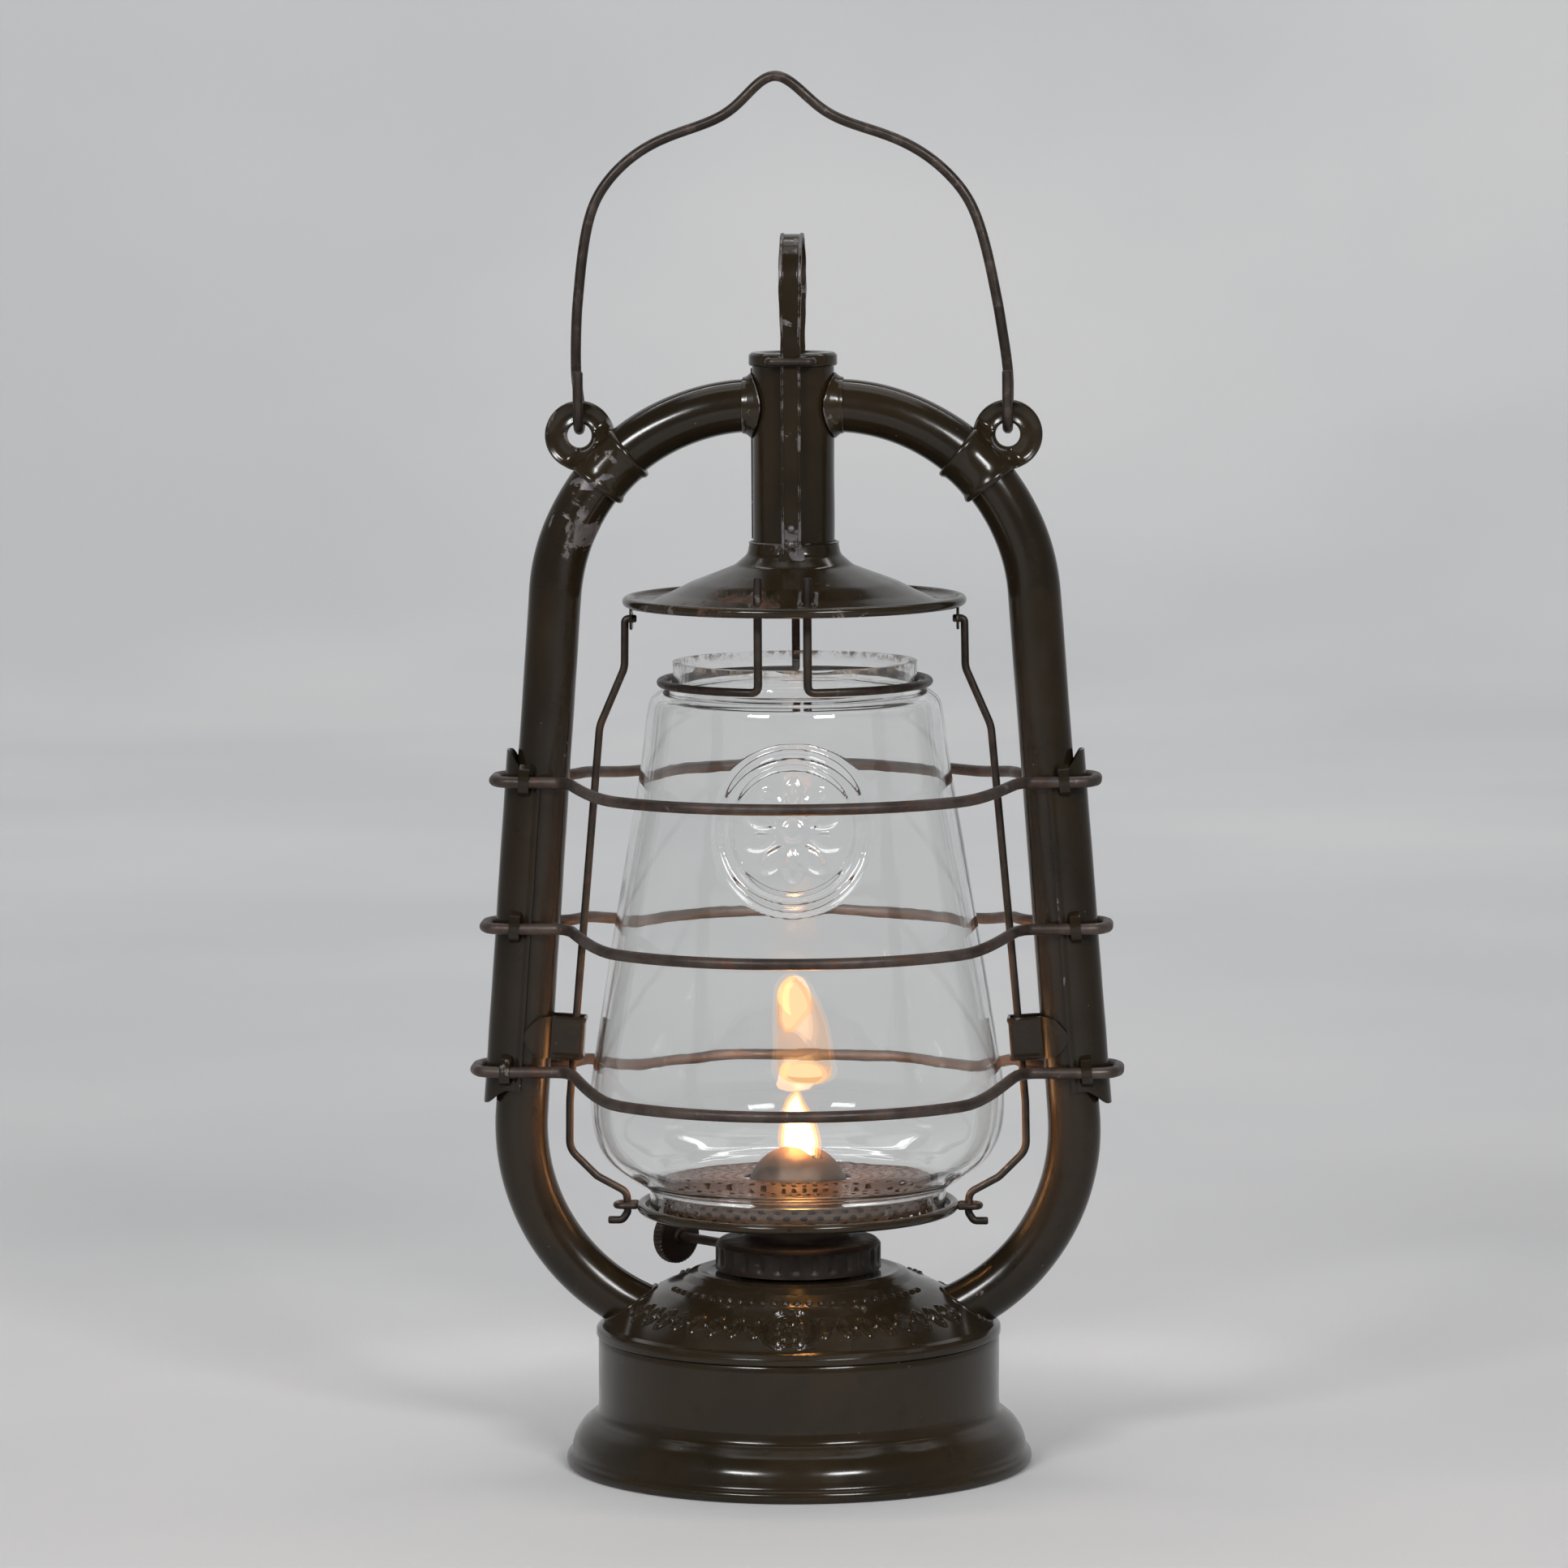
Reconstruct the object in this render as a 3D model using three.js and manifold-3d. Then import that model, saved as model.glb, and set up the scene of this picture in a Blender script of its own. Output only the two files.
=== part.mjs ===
// Tubular hurricane lantern: fuel tank, flat-wick burner, glass globe on a liftable
// globe plate, sliding hood, two air tubes, wire guards and a swinging bail.
// Millimetres, +Z up. The origin is the centre of the base, on the surface it stands on.
// The air tubes lie in the XZ plane; the front of the lantern faces -Y.

import * as THREE from "three";
import { mergeVertices } from "three/addons/utils/BufferGeometryUtils.js";
import Module from "manifold-3d";

const wasm = await Module();
wasm.setup();

// ---------------------------------------------------------------- driving dimensions
const GAP = 0.3; // clearance left between pieces that touch
const SHEET = 0.8; // thickness of the pressed sheet steel
const ROUND = 24; // facets around the large turned shapes

const TANK_R = 61.8; // outside radius of the fuel tank
const FOOT_R = 71.9; // outside radius of the rolled foot
const SEAM_Z = 40; // height of the seam between tank wall and dome
const DOME = [[61.8, 40.2], [62.3, 40.9], [61.4, 42], [59, 44.2], [51, 49.8], [42.5, 55], [34, 58.2],
  [31, 59.6], [28, 60], [20.8, 59.4]];

const BURNER_R = 25.5; // burner collar
const BURNER_Z = 60.5;
const CONE_R = 15.2; // burner cone, a round dome with a slot
const CONE_TOP = 98;
const SPINDLE_TURN = THREE.MathUtils.degToRad(136.5); // heading of the wick spindle, from +X towards +Y
const SPINDLE_Z = 62.6;
const SPINDLE_OFFSET = 5.1; // the spindle passes this far beside the wick's middle
const KNOB_AT = 60.6; // middle of the knob along the spindle
const WICK = { wide: 16.4, thick: 2, bottom: 18, top: 95.6 };

const FILLER = { y: 43.5, z: 54.4, lean: THREE.MathUtils.degToRad(-27) }; // neck at the back of the dome

const PLATE_Z = 79.7; // middle of the globe plate's rolled rim
const GLOBE_OUT = [[45.4, 79.5], [45.9, 85.5], [52, 89.5], [59, 95.5], [63, 103.5], [63.9, 113.8],
  [63, 122.5], [55.8, 167], [48.5, 209], [45.9, 229], [44.8, 236], [38.2, 239.6], [37.4, 242], [37.4, 248.2]];
const GLASS = 2.2; // thickness of the globe

const CHIMNEY_R = 12.5;
const CHIMNEY = { bottom: 272, top: 341.2 };
const HOOD_Z = 266.6; // middle of the hood's rolled rim
const HOOD_R = 52.7;
const STRAP = { wide: 6, thick: 1.2, inner: 14.5, bottom: 281.4, arch: 363 };

const TUBE_R = 8.1; // air tubes
const TUBE_BORE = 7.5;
const TUBE_LEAN = THREE.MathUtils.degToRad(4.25); // each leg spreads outwards as it goes down
const TOP_ARC = { x: 11.5, z: 264.2, r: 62 };
const LOW_ARC = { x: 22.7, z: 104, r: 62.5 };

const EAR = { angle: THREE.MathUtils.degToRad(44.5), hole: 75.6, holeR: 3.7, headR: 10.6, thick: 1.2 };
const BAIL_R = 1.6;
const BAIL_PIVOT = 324.35; // the hooked ends turn about the web above each ear's hole
const BAIL_HOOK = 5.4; // radius of the hooks

const GUARD_R = 70; // the guards' rings around the globe
const GUARD_WIRE = 1.75;
const GUARDS = [["guard_top", 211.7, 209.5], ["guard_middle", 166.6, 163.2], ["guard_low", 122.3, 117.2]];
const SLEEVE = { bottom: 110.8, top: 220.5, out: 11.4, half: 9.1, thick: 0.6 };
const CLIP = { z: 133, tall: 13, nose: 18.1, half: 4.5 };
const SIDE_WIRE = 1.2;
const RETAINER = { wire: 1.3, ring: 41, z: 241.7 };

// ---------------------------------------------------------------- materials
const metal = (color, roughness, metalness) => () =>
  new THREE.MeshStandardMaterial({ color, roughness, metalness });
const enamel = metal(0x2c2519, 0.38, 0.25);
const guardSteel = metal(0x43342c, 0.5, 0.6);
const wireSteel = metal(0x2a221a, 0.4, 0.5);
const burnerSteel = metal(0x2a241c, 0.45, 0.6);
const knobBrass = metal(0x4a3a26, 0.5, 0.7);
const glass = () =>
  new THREE.MeshStandardMaterial({ color: 0xdfe4e2, roughness: 0.05, metalness: 0, transparent: true, opacity: 0.3 });
const cotton = metal(0xb8ab90, 0.95, 0);
const corkRubber = metal(0x2b2622, 0.9, 0);

// ---------------------------------------------------------------- geometry helpers

// Closed geometry with merged corners, no empty triangles, and its faces pointing out.
function closed(geometry) {
  const bare = new THREE.BufferGeometry();
  bare.setAttribute("position", geometry.getAttribute("position").clone());
  if (geometry.index) bare.setIndex(geometry.index.clone());
  const merged = mergeVertices(bare, 1e-3);
  const at = merged.getAttribute("position");
  const corners = merged.index.array;
  const kept = [];
  let volume = 0;
  const [a, b, c] = [new THREE.Vector3(), new THREE.Vector3(), new THREE.Vector3()];
  for (let i = 0; i < corners.length; i += 3) {
    const [p, q, r] = [corners[i], corners[i + 1], corners[i + 2]];
    if (p === q || q === r || r === p) continue;
    kept.push(p, q, r);
    a.fromBufferAttribute(at, p);
    b.fromBufferAttribute(at, q);
    c.fromBufferAttribute(at, r);
    volume += a.dot(b.cross(c));
  }
  if (volume < 0) kept.reverse();
  merged.setIndex(kept);
  return merged;
}

// manifold-3d solid of a closed geometry, and back.
function solid(geometry) {
  const g = closed(geometry);
  return new wasm.Manifold(new wasm.Mesh({
    numProp: 3,
    vertProperties: new Float32Array(g.getAttribute("position").array),
    triVerts: new Uint32Array(g.index.array),
  }));
}

function fromSolid(body) {
  const mesh = body.getMesh();
  const g = new THREE.BufferGeometry();
  g.setAttribute("position", new THREE.BufferAttribute(new Float32Array(mesh.vertProperties), 3));
  g.setIndex(new THREE.BufferAttribute(new Uint32Array(mesh.triVerts), 1));
  return g;
}

const cut = (from, ...tools) =>
  fromSolid(tools.reduce((left, tool) => left.subtract(solid(tool)), solid(from)));
const join = (first, ...others) =>
  fromSolid(others.reduce((sum, other) => sum.add(solid(other)), solid(first)));

// Turned shape around +Z. The profile is [radius, z] pairs; one that doesn't start on the
// axis is closed on itself.
function turned(profile, facets = ROUND) {
  const points = profile.map(([r, z]) => new THREE.Vector2(r, z));
  if (profile[0][0] > 0) points.push(points[0].clone());
  return closed(new THREE.LatheGeometry(points, facets).rotateX(Math.PI / 2));
}

// Thin shell around +Z: the outer profile, and the same profile moved in by the thickness.
function shell(outer, thickness, facets = ROUND) {
  const at = outer.map(([r, z]) => new THREE.Vector2(r, z));
  const inner = at.map((point, i) => {
    const before = at[Math.max(i - 1, 0)];
    const after = at[Math.min(i + 1, at.length - 1)];
    const along = after.clone().sub(before).normalize();
    return [point.x - along.y * thickness, point.y + along.x * thickness];
  });
  return turned([...outer, ...inner.reverse()], facets);
}

// Cylinder with its axis along +Z, from one height to the other.
function rod(radius, from, to, facets = 16) {
  return new THREE.CylinderGeometry(radius, radius, to - from, facets)
    .rotateX(Math.PI / 2).translate(0, 0, (from + to) / 2);
}

// A path with a corner at each of its points. The sections of a swept wire fall on the points.
class Route extends THREE.Curve {
  constructor(points) {
    super();
    this.points = points;
  }
  getPoint(t, target = new THREE.Vector3()) {
    const s = t * (this.points.length - 1);
    const i = Math.min(Math.floor(s + 1e-9), this.points.length - 2);
    return target.lerpVectors(this.points[i], this.points[i + 1], s - i);
  }
  getTangent(t, target = new THREE.Vector3()) {
    const last = this.points.length - 1;
    const i = Math.round(t * last);
    const into = this.points[Math.max(i, 1)].clone().sub(this.points[Math.max(i - 1, 0)]).normalize();
    const out = this.points[Math.min(i + 1, last)].clone().sub(this.points[Math.min(i, last - 1)]).normalize();
    return target.copy(into.add(out)).normalize();
  }
  getPointAt(u, target) {
    return this.getPoint(u, target);
  }
  getTangentAt(u, target) {
    return this.getTangent(u, target);
  }
}

// Points of a path whose corners are rounded: [x, y, z] triples and one bend radius.
function bent(corners, radius, steps = 3) {
  const at = corners.map((p) => new THREE.Vector3(...p));
  const points = [at[0]];
  for (let i = 1; i < at.length - 1; i++) {
    const back = at[i - 1].clone().sub(at[i]);
    const on = at[i + 1].clone().sub(at[i]);
    const turn = Math.PI - back.angleTo(on);
    const reach = Math.min(radius * Math.tan(turn / 2), back.length() * 0.45, on.length() * 0.45);
    const from = at[i].clone().addScaledVector(back.normalize(), reach);
    const to = at[i].clone().addScaledVector(on.normalize(), reach);
    const bend = new THREE.QuadraticBezierCurve3(from, at[i], to);
    points.push(...(turn < 0.12 ? [at[i]] : bend.getPoints(steps)));
  }
  points.push(at.at(-1));
  return points;
}

// Points on an arc in the XZ plane (angles from +X towards +Z).
function arcXZ({ x, z, r }, from, to, steps) {
  return Array.from({ length: steps + 1 }, (_, i) => {
    const angle = from + ((to - from) * i) / steps;
    return new THREE.Vector3(x + r * Math.cos(angle), 0, z + r * Math.sin(angle));
  });
}

// Round wire, rod or pipe swept along the points.
function swept(points, radius, sides = 8, bore = 0) {
  const section = new THREE.Shape();
  const corner = (r, i) => [r * Math.cos((2 * Math.PI * i) / sides), r * Math.sin((2 * Math.PI * i) / sides)];
  section.moveTo(...corner(radius, 0));
  for (let i = 1; i < sides; i++) section.lineTo(...corner(radius, i));
  if (bore) {
    const hole = new THREE.Path().moveTo(...corner(bore, 0));
    for (let i = 1; i < sides; i++) hole.lineTo(...corner(bore, i));
    section.holes.push(hole);
  }
  return closed(new THREE.ExtrudeGeometry(section, { steps: points.length - 1, extrudePath: new Route(points) }));
}

const mirrored = (points, side) => points.map((p) => new THREE.Vector3(p.x * side, p.y, p.z));
const sides = [["left", -1], ["right", 1]];

// ---------------------------------------------------------------- scene graph
const lantern = new THREE.Group();
lantern.name = "hurricane_lantern";

function add(name, geometry, material, parent = lantern) {
  const mesh = new THREE.Mesh(closed(geometry), material());
  mesh.name = name;
  parent.add(mesh);
  return mesh;
}

// ---------------------------------------------------------------- fuel tank
// Foot and wall are one pressing; the foot's lowest edge is the flat ring it stands on.
add("tank_wall", turned([[69.2, 0], [71.2, 0], [FOOT_R, 1.4], [71.3, 3.4], [70, 4.6], [69, 9.6], [66.8, 13],
  [63.6, 15.6], [TANK_R, 18], [TANK_R, SEAM_Z - 0.1], [TANK_R - SHEET, SEAM_Z - 0.1], [TANK_R - SHEET, 17.8],
  [63, 14.8], [66, 12.4], [68.2, 9.2], [69.2, 4.2]]), enamel);
add("tank_floor", turned([[0, 6.2], [40, 6.2], [44, 5.2], [68, 5.2], [68, 6], [44.3, 6], [40.3, 7], [0, 7]]), enamel);

const fillerAxis = new THREE.Matrix4().makeRotationX(FILLER.lean).setPosition(0, FILLER.y, FILLER.z);
add("tank_dome", cut(shell(DOME, SHEET), rod(10.9, -8, 8, 16).applyMatrix4(fillerAxis)), enamel);

const filler = new THREE.Group();
filler.applyMatrix4(fillerAxis);
lantern.add(filler);
add("filler_neck", turned([[9.7, -4], [10.5, -4], [10.5, 6], [9.7, 6]], 16), enamel, filler);
add("filler_gasket", turned([[7, 6.3], [11, 6.3], [11, 7.2], [7, 7.2]], 16), corkRubber, filler);
add("filler_cap", turned([[0, 7.5], [11.4, 7.5], [11.4, 1.8], [13, 1.8], [13, 8.2], [12.2, 9], [8, 9], [7.4, 8.4],
  [0, 8.4]], 16), enamel, filler);

// ---------------------------------------------------------------- burner
const burner = new THREE.Group();
burner.rotation.z = SPINDLE_TURN; // local +X runs along the spindle, out to the knob
lantern.add(burner);

const spindleLine = (geometry) => geometry.rotateY(Math.PI / 2).translate(0, -SPINDLE_OFFSET, SPINDLE_Z);
add("burner_collar", cut(
  turned([[24.7, BURNER_Z], [BURNER_R, BURNER_Z], [BURNER_R, 67.6], [24.4, 69.1], [17, 70], [16, 71.2], [15.6, 79.3],
    [14.9, 79.3], [15.3, 70.8], [16.6, 69.2], [24, 68.3], [24.7, 67.3]], 20),
  spindleLine(rod(1.9, 14, 34, 12)),
), burnerSteel, burner);
add("burner_cone", cut(
  shell([[CONE_R, 79.6], [CONE_R, 83], [14.3, 88], [12, 92.4], [8.6, 95.8], [4.6, 97.6], [0.001, CONE_TOP]], 0.6, 16),
  new THREE.BoxGeometry(20, 4.4, 10).translate(0, 0, 97.4),
), burnerSteel, burner);

const deck = new THREE.Shape().absarc(0, 0, 14.4, 0, 2 * Math.PI);
deck.holes.push(new THREE.Path([[-9.6, -2.3], [9.6, -2.3], [9.6, 2.3], [-9.6, 2.3]]
  .map((p) => new THREE.Vector2(...p))));
add("burner_deck", new THREE.ExtrudeGeometry(deck, { depth: 0.8, bevelEnabled: false, curveSegments: 12 })
  .translate(0, 0, 74), burnerSteel, burner);

const rectangle = (wide, deep) => [[-wide / 2, -deep / 2], [wide / 2, -deep / 2], [wide / 2, deep / 2],
  [-wide / 2, deep / 2]].map((p) => new THREE.Vector2(...p));
const wickTube = new THREE.Shape(rectangle(18.4, 3.9));
wickTube.holes.push(new THREE.Path(rectangle(17.2, 2.8)));
add("wick_tube", new THREE.ExtrudeGeometry(wickTube, { depth: 24, bevelEnabled: false })
  .translate(0, 0, 68.6), burnerSteel, burner);
add("wick", new THREE.BoxGeometry(WICK.wide, WICK.thick, WICK.top - WICK.bottom)
  .translate(0, 0, (WICK.top + WICK.bottom) / 2), cotton, burner);

// Spindle with two toothed wheels that grip the wick's face.
const wheel = new THREE.Shape();
for (let i = 0; i < 24; i++) {
  const r = i % 2 ? 3.1 : 4;
  const point = [r * Math.cos((Math.PI * i) / 12), r * Math.sin((Math.PI * i) / 12)];
  if (i) wheel.lineTo(...point);
  else wheel.moveTo(...point);
}
const wheels = [-4.5, 4.5].map((s) =>
  spindleLine(new THREE.ExtrudeGeometry(wheel, { depth: 1.2, bevelEnabled: false }).translate(0, 0, s - 0.6)));
add("wick_spindle", join(spindleLine(rod(1.5, -9, KNOB_AT - 2.8, 12)), ...wheels), burnerSteel, burner);
add("spindle_bush", spindleLine(turned([[1.85, 25.9], [2.4, 25.9], [2.4, 29.5], [1.85, 29.5]], 12)), burnerSteel, burner);
add("wick_knob", spindleLine(turned([[0, -2.5], [2.4, -2.5], [2.4, -1.4], [7.9, -1.4], [8.7, -0.7], [8.7, 1.7],
  [7.8, 2.3], [5.4, 1.2], [0, 1.2]], 16).translate(0, 0, KNOB_AT)), knobBrass, burner);

// ---------------------------------------------------------------- globe plate and globe
// A rolled rim, the ledge the globe stands on, a raised drum and a deck with a round opening.
add("globe_plate", turned([[48.1, 78.2], [49.2, 78.7], [49.6, PLATE_Z], [49.2, 80.8], [48.1, 81.2], [46.9, 80.4],
  [46.6, 79.1], [41.6, 79.1], [41.4, 85.2], [40.4, 85.9], [28, 86.6], [16.6, 86.6], [16.6, 85.9], [28, 85.9],
  [40.1, 85.2], [40.7, 84.6], [40.9, 78.4], [46.6, 78.4]]), enamel);
for (const [name, side] of sides) {
  add(`plate_eye_${name}`, swept(mirrored(bent([[49.9, -3.2, PLATE_Z], [56.1, -3.2, PLATE_Z], [56.1, 3.2, PLATE_Z],
    [49.9, 3.2, PLATE_Z]], 3), side), 1, 6), wireSteel);
}
add("globe", shell(GLOBE_OUT, GLASS), glass);

// ---------------------------------------------------------------- hood and lift strap
const uprights = [["left", -9, -40, -1.75], ["right", 6, -40.5, 1.75]]; // retainer wires: front x, y, back x
add("hood", cut(
  turned([[51.1, 265], [52.3, 265.5], [HOOD_R, HOOD_Z], [52.3, 267.7], [51.1, 268.2], [49.7, 267.4], [44, 266.6],
    [38, 269.1], [32, 272.2], [24, 275.2], [18, 277.6], [14.2, 281], [13.65, 284.4], [12.85, 284.4], [13.35, 280.8],
    [17.4, 276.9], [24, 274.4], [32, 271.3], [38, 268.2], [44, 265.8], [49.8, 266]]),
  ...uprights.map(([, x, y]) => rod(1.65, 255, 290, 8).translate(x, y, 0)),
  new THREE.BoxGeometry(6.9, 3.4, 30).translate(0, RETAINER.ring, 270),
), enamel);
for (const [name, side] of sides) {
  const lug = new THREE.Shape([[-3.5, 257.6], [3.5, 257.6], [3.5, 264.6], [-3.5, 264.6]]
    .map((p) => new THREE.Vector2(...p)));
  lug.holes.push(new THREE.Path().absarc(0, 261, 1.6, 0, 2 * Math.PI));
  const tab = new THREE.ExtrudeGeometry(lug, { depth: 0.8, bevelEnabled: false, curveSegments: 6 });
  const upright = new THREE.Matrix4().makeBasis(
    new THREE.Vector3(0, 1, 0), new THREE.Vector3(0, 0, 1), new THREE.Vector3(1, 0, 0));
  add(`hood_lug_${name}`, tab.translate(0, 0, side * 50 - 0.4).applyMatrix4(upright), enamel);
}

// Flat strap up the front of the chimney, over the cap as a pull ring, and down the back.
const strapOut = STRAP.inner + STRAP.thick;
const strap = new THREE.Shape()
  .moveTo(-strapOut, STRAP.bottom).lineTo(-strapOut, STRAP.arch)
  .absarc(0, STRAP.arch, strapOut, Math.PI, 0, true).lineTo(strapOut, STRAP.bottom)
  .lineTo(STRAP.inner, STRAP.bottom).lineTo(STRAP.inner, STRAP.arch)
  .absarc(0, STRAP.arch, STRAP.inner, 0, Math.PI, false).lineTo(-STRAP.inner, STRAP.bottom);
add("lift_strap", new THREE.ExtrudeGeometry(strap, { depth: STRAP.wide, bevelEnabled: false, curveSegments: 10 })
  .translate(0, 0, -STRAP.wide / 2)
  .applyMatrix4(new THREE.Matrix4().makeBasis(
    new THREE.Vector3(0, 1, 0), new THREE.Vector3(0, 0, 1), new THREE.Vector3(1, 0, 0))), enamel);

// Side wires hang the globe plate from the hood and slide through the clips on the tubes.
for (const [name, side] of sides) {
  add(`side_wire_${name}`, swept(mirrored(bent([[58.6, 0, 74.9], [53, 0, 75.4], [52.8, 0, 83.6], [62, 0, 88.6],
    [70.4, 0, 97], [70.2, 0, 112], [66.9, 0, 150], [60, 0, 228], [52.2, 0, 246], [52, 0, 261], [46.8, 0, 261]],
  5), side), SIDE_WIRE, 6), wireSteel);
}

// ---------------------------------------------------------------- globe retainer
// Two half rings around the globe's neck, with uprights that run through the hood.
for (const [name, x, y, back] of uprights) {
  const side = Math.sign(back);
  const from = Math.atan2(y, side * x);
  const ring = Array.from({ length: 13 }, (_, i) => {
    const angle = from + 0.08 + ((Math.PI / 2 - 0.1227 - from) * i) / 12;
    return [side * RETAINER.ring * Math.cos(angle), RETAINER.ring * Math.sin(angle), RETAINER.z];
  });
  add(`retainer_${name}`, swept([
    new THREE.Vector3(x, y, 276.5), new THREE.Vector3(x, y, RETAINER.z + 2.6),
    ...ring.map((p) => new THREE.Vector3(...p)),
    new THREE.Vector3(back, RETAINER.ring, RETAINER.z + 2.6), new THREE.Vector3(back, RETAINER.ring, 272),
  ], RETAINER.wire, 6), wireSteel);
}

// ---------------------------------------------------------------- chimney and air tubes
const across = (radius, length) => rod(radius, -length, length, 16).rotateY(Math.PI / 2);
add("chimney", cut(
  turned([[CHIMNEY_R, CHIMNEY.bottom], [CHIMNEY_R, CHIMNEY.top], [11.8, CHIMNEY.top], [11.8, CHIMNEY.bottom]]),
  across(TUBE_BORE, 20).translate(0, 0, TOP_ARC.z + TOP_ARC.r),
), enamel);
add("chimney_cap", turned([[0, 341.6], [12.3, 341.6], [12.85, 341.1], [12.85, 338.4], [13.55, 338.4], [13.55, 341.6],
  [12.7, 342.4], [0, 342.4]]), enamel);

const chimneyRoom = rod(CHIMNEY_R + GAP, 250, 350, ROUND);
const domeRoom = turned([[0, 30], [62.6, 30], ...DOME.map(([r, z]) => [r + 0.2, z + GAP]), [0, 59.7]]);
const tubeRoute = [
  new THREE.Vector3(6, 0, TOP_ARC.z + TOP_ARC.r),
  ...arcXZ(TOP_ARC, Math.PI / 2, TUBE_LEAN, 9),
  ...arcXZ(LOW_ARC, TUBE_LEAN, THREE.MathUtils.degToRad(-68), 8),
];
for (const [name, side] of sides) {
  add(`air_tube_${name}`, cut(swept(mirrored(tubeRoute, side), TUBE_R, 12, TUBE_BORE), chimneyRoom, domeRoom), enamel);
  const flange = cut(across(10.2, 15.2).translate(0, 0, TOP_ARC.z + TOP_ARC.r), chimneyRoom,
    across(TUBE_R + 2 * GAP, 30).translate(0, 0, TOP_ARC.z + TOP_ARC.r),
    new THREE.BoxGeometry(40, 40, 40).translate(-side * 20, 0, TOP_ARC.z + TOP_ARC.r));
  add(`tube_flange_${name}`, flange, enamel);
}

// Wire staples on the cap guide the strap.
for (const [name, side] of [["front", -1], ["back", 1]]) {
  add(`staple_${name}`, swept(bent([[-6.7, side * 12.3, 340.2], [-6.7, side * 17.1, 340.2], [6.7, side * 17.1, 340.2],
    [6.7, side * 12.3, 340.2]], 3, 3), 1.2, 6), wireSteel);
}

// ---------------------------------------------------------------- bail and its ears
for (const [name, side] of sides) {
  const around = (spread, steps) => mirrored(arcXZ(TOP_ARC, EAR.angle + spread, EAR.angle - spread, steps), side);
  const hole = new THREE.Vector3(side * (TOP_ARC.x + EAR.hole * Math.cos(EAR.angle)), 0,
    TOP_ARC.z + EAR.hole * Math.sin(EAR.angle));
  const disc = (radius, depth) => rod(radius, -depth / 2, depth / 2, 18).rotateX(Math.PI / 2).translate(...hole);
  const band = swept(around(0.121, 3), TUBE_R + GAP + 0.9, 12);
  add(`ear_${name}`, cut(join(band, disc(EAR.headR, EAR.thick)), swept(around(0.35, 7), TUBE_R + 2 * GAP, 12),
    disc(EAR.holeR, 8)), enamel);
}

// Half widths of the bail at each height; it leans a little to the left.
const BAIL = [[335.9, 66], [350.8, 64.8], [365.6, 63], [375.4, 61.4], [385.2, 59], [390, 56.5], [395, 52.8], [400, 48],
  [405, 41.5], [410, 27.7], [412.6, 19], [415, 14.2], [419.7, 9.5], [424.6, 5.5], [426.9, 1.4]];
const earX = TOP_ARC.x + EAR.hole * Math.cos(EAR.angle);
const bailSide = (side) => {
  const lean = (z) => (-5 * (z - BAIL_PIVOT)) / (426.9 - BAIL_PIVOT);
  const hook = Array.from({ length: 7 }, (_, i) => {
    const angle = Math.PI + (Math.PI * i) / 6;
    return [side * earX, BAIL_HOOK * Math.cos(angle), BAIL_PIVOT + BAIL_HOOK * Math.sin(angle)];
  });
  const bow = BAIL.map(([z, half]) => {
    const set = BAIL_HOOK * THREE.MathUtils.clamp((352 - z) / 22, 0, 1);
    return [side * half + lean(z), set, z];
  });
  return [[side * earX, -BAIL_HOOK, BAIL_PIVOT + 12.6], ...hook, ...bow].map((p) => new THREE.Vector3(...p));
};
add("bail", swept([...bailSide(-1), ...bailSide(1).reverse()], BAIL_R, 6), guardSteel);

// ---------------------------------------------------------------- guards, sleeves and clips
const tubeX = (z) => TOP_ARC.x + TOP_ARC.r * Math.cos(TUBE_LEAN)
  + (TOP_ARC.z + TOP_ARC.r * Math.sin(TUBE_LEAN) - z) * Math.tan(TUBE_LEAN);
const GUARD_Y = SLEEVE.half + GAP + GUARD_WIRE; // a guard runs this far in front of and behind the tubes

for (const [name, z, low] of GUARDS) {
  const x = tubeX(z);
  const quarter = Array.from({ length: 8 }, (_, i) => {
    const angle = THREE.MathUtils.degToRad(90 - (i * 76) / 7);
    const drop = THREE.MathUtils.smoothstep(angle, THREE.MathUtils.degToRad(14), THREE.MathUtils.degToRad(42));
    return [GUARD_R * Math.cos(angle), GUARD_R * Math.sin(angle), THREE.MathUtils.lerp(z, low, drop)];
  });
  const loop = [[70.6, GUARD_Y, z], [x + 6, GUARD_Y, z], [x + 10.6, 10, z], [x + 13.6, 6.4, z]];
  const back = [...quarter, ...loop, [x + 14.6, 0, z]];
  const right = [...back, ...back.slice(0, -1).reverse().map(([px, py, pz]) => [px, -py, pz])];
  const left = right.slice(0, -1).reverse().map(([px, py, pz]) => [-px, py, pz]);
  const points = [...right, ...left].map((p) => new THREE.Vector3(...p));
  points[0].x = GAP; // the wire's two ends meet at the middle of the back
  points.at(-1).x = -GAP;
  add(name, swept(points, GUARD_WIRE, 6), guardSteel);
}

// A piece that follows one air tube's leg: local Z along the leg, local X outwards.
function onLeg(geometry, side, z) {
  return geometry.rotateY(-TUBE_LEAN).translate(tubeX(z), 0, z).applyMatrix4(
    side > 0 ? new THREE.Matrix4() : new THREE.Matrix4().makeRotationZ(Math.PI));
}

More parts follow.
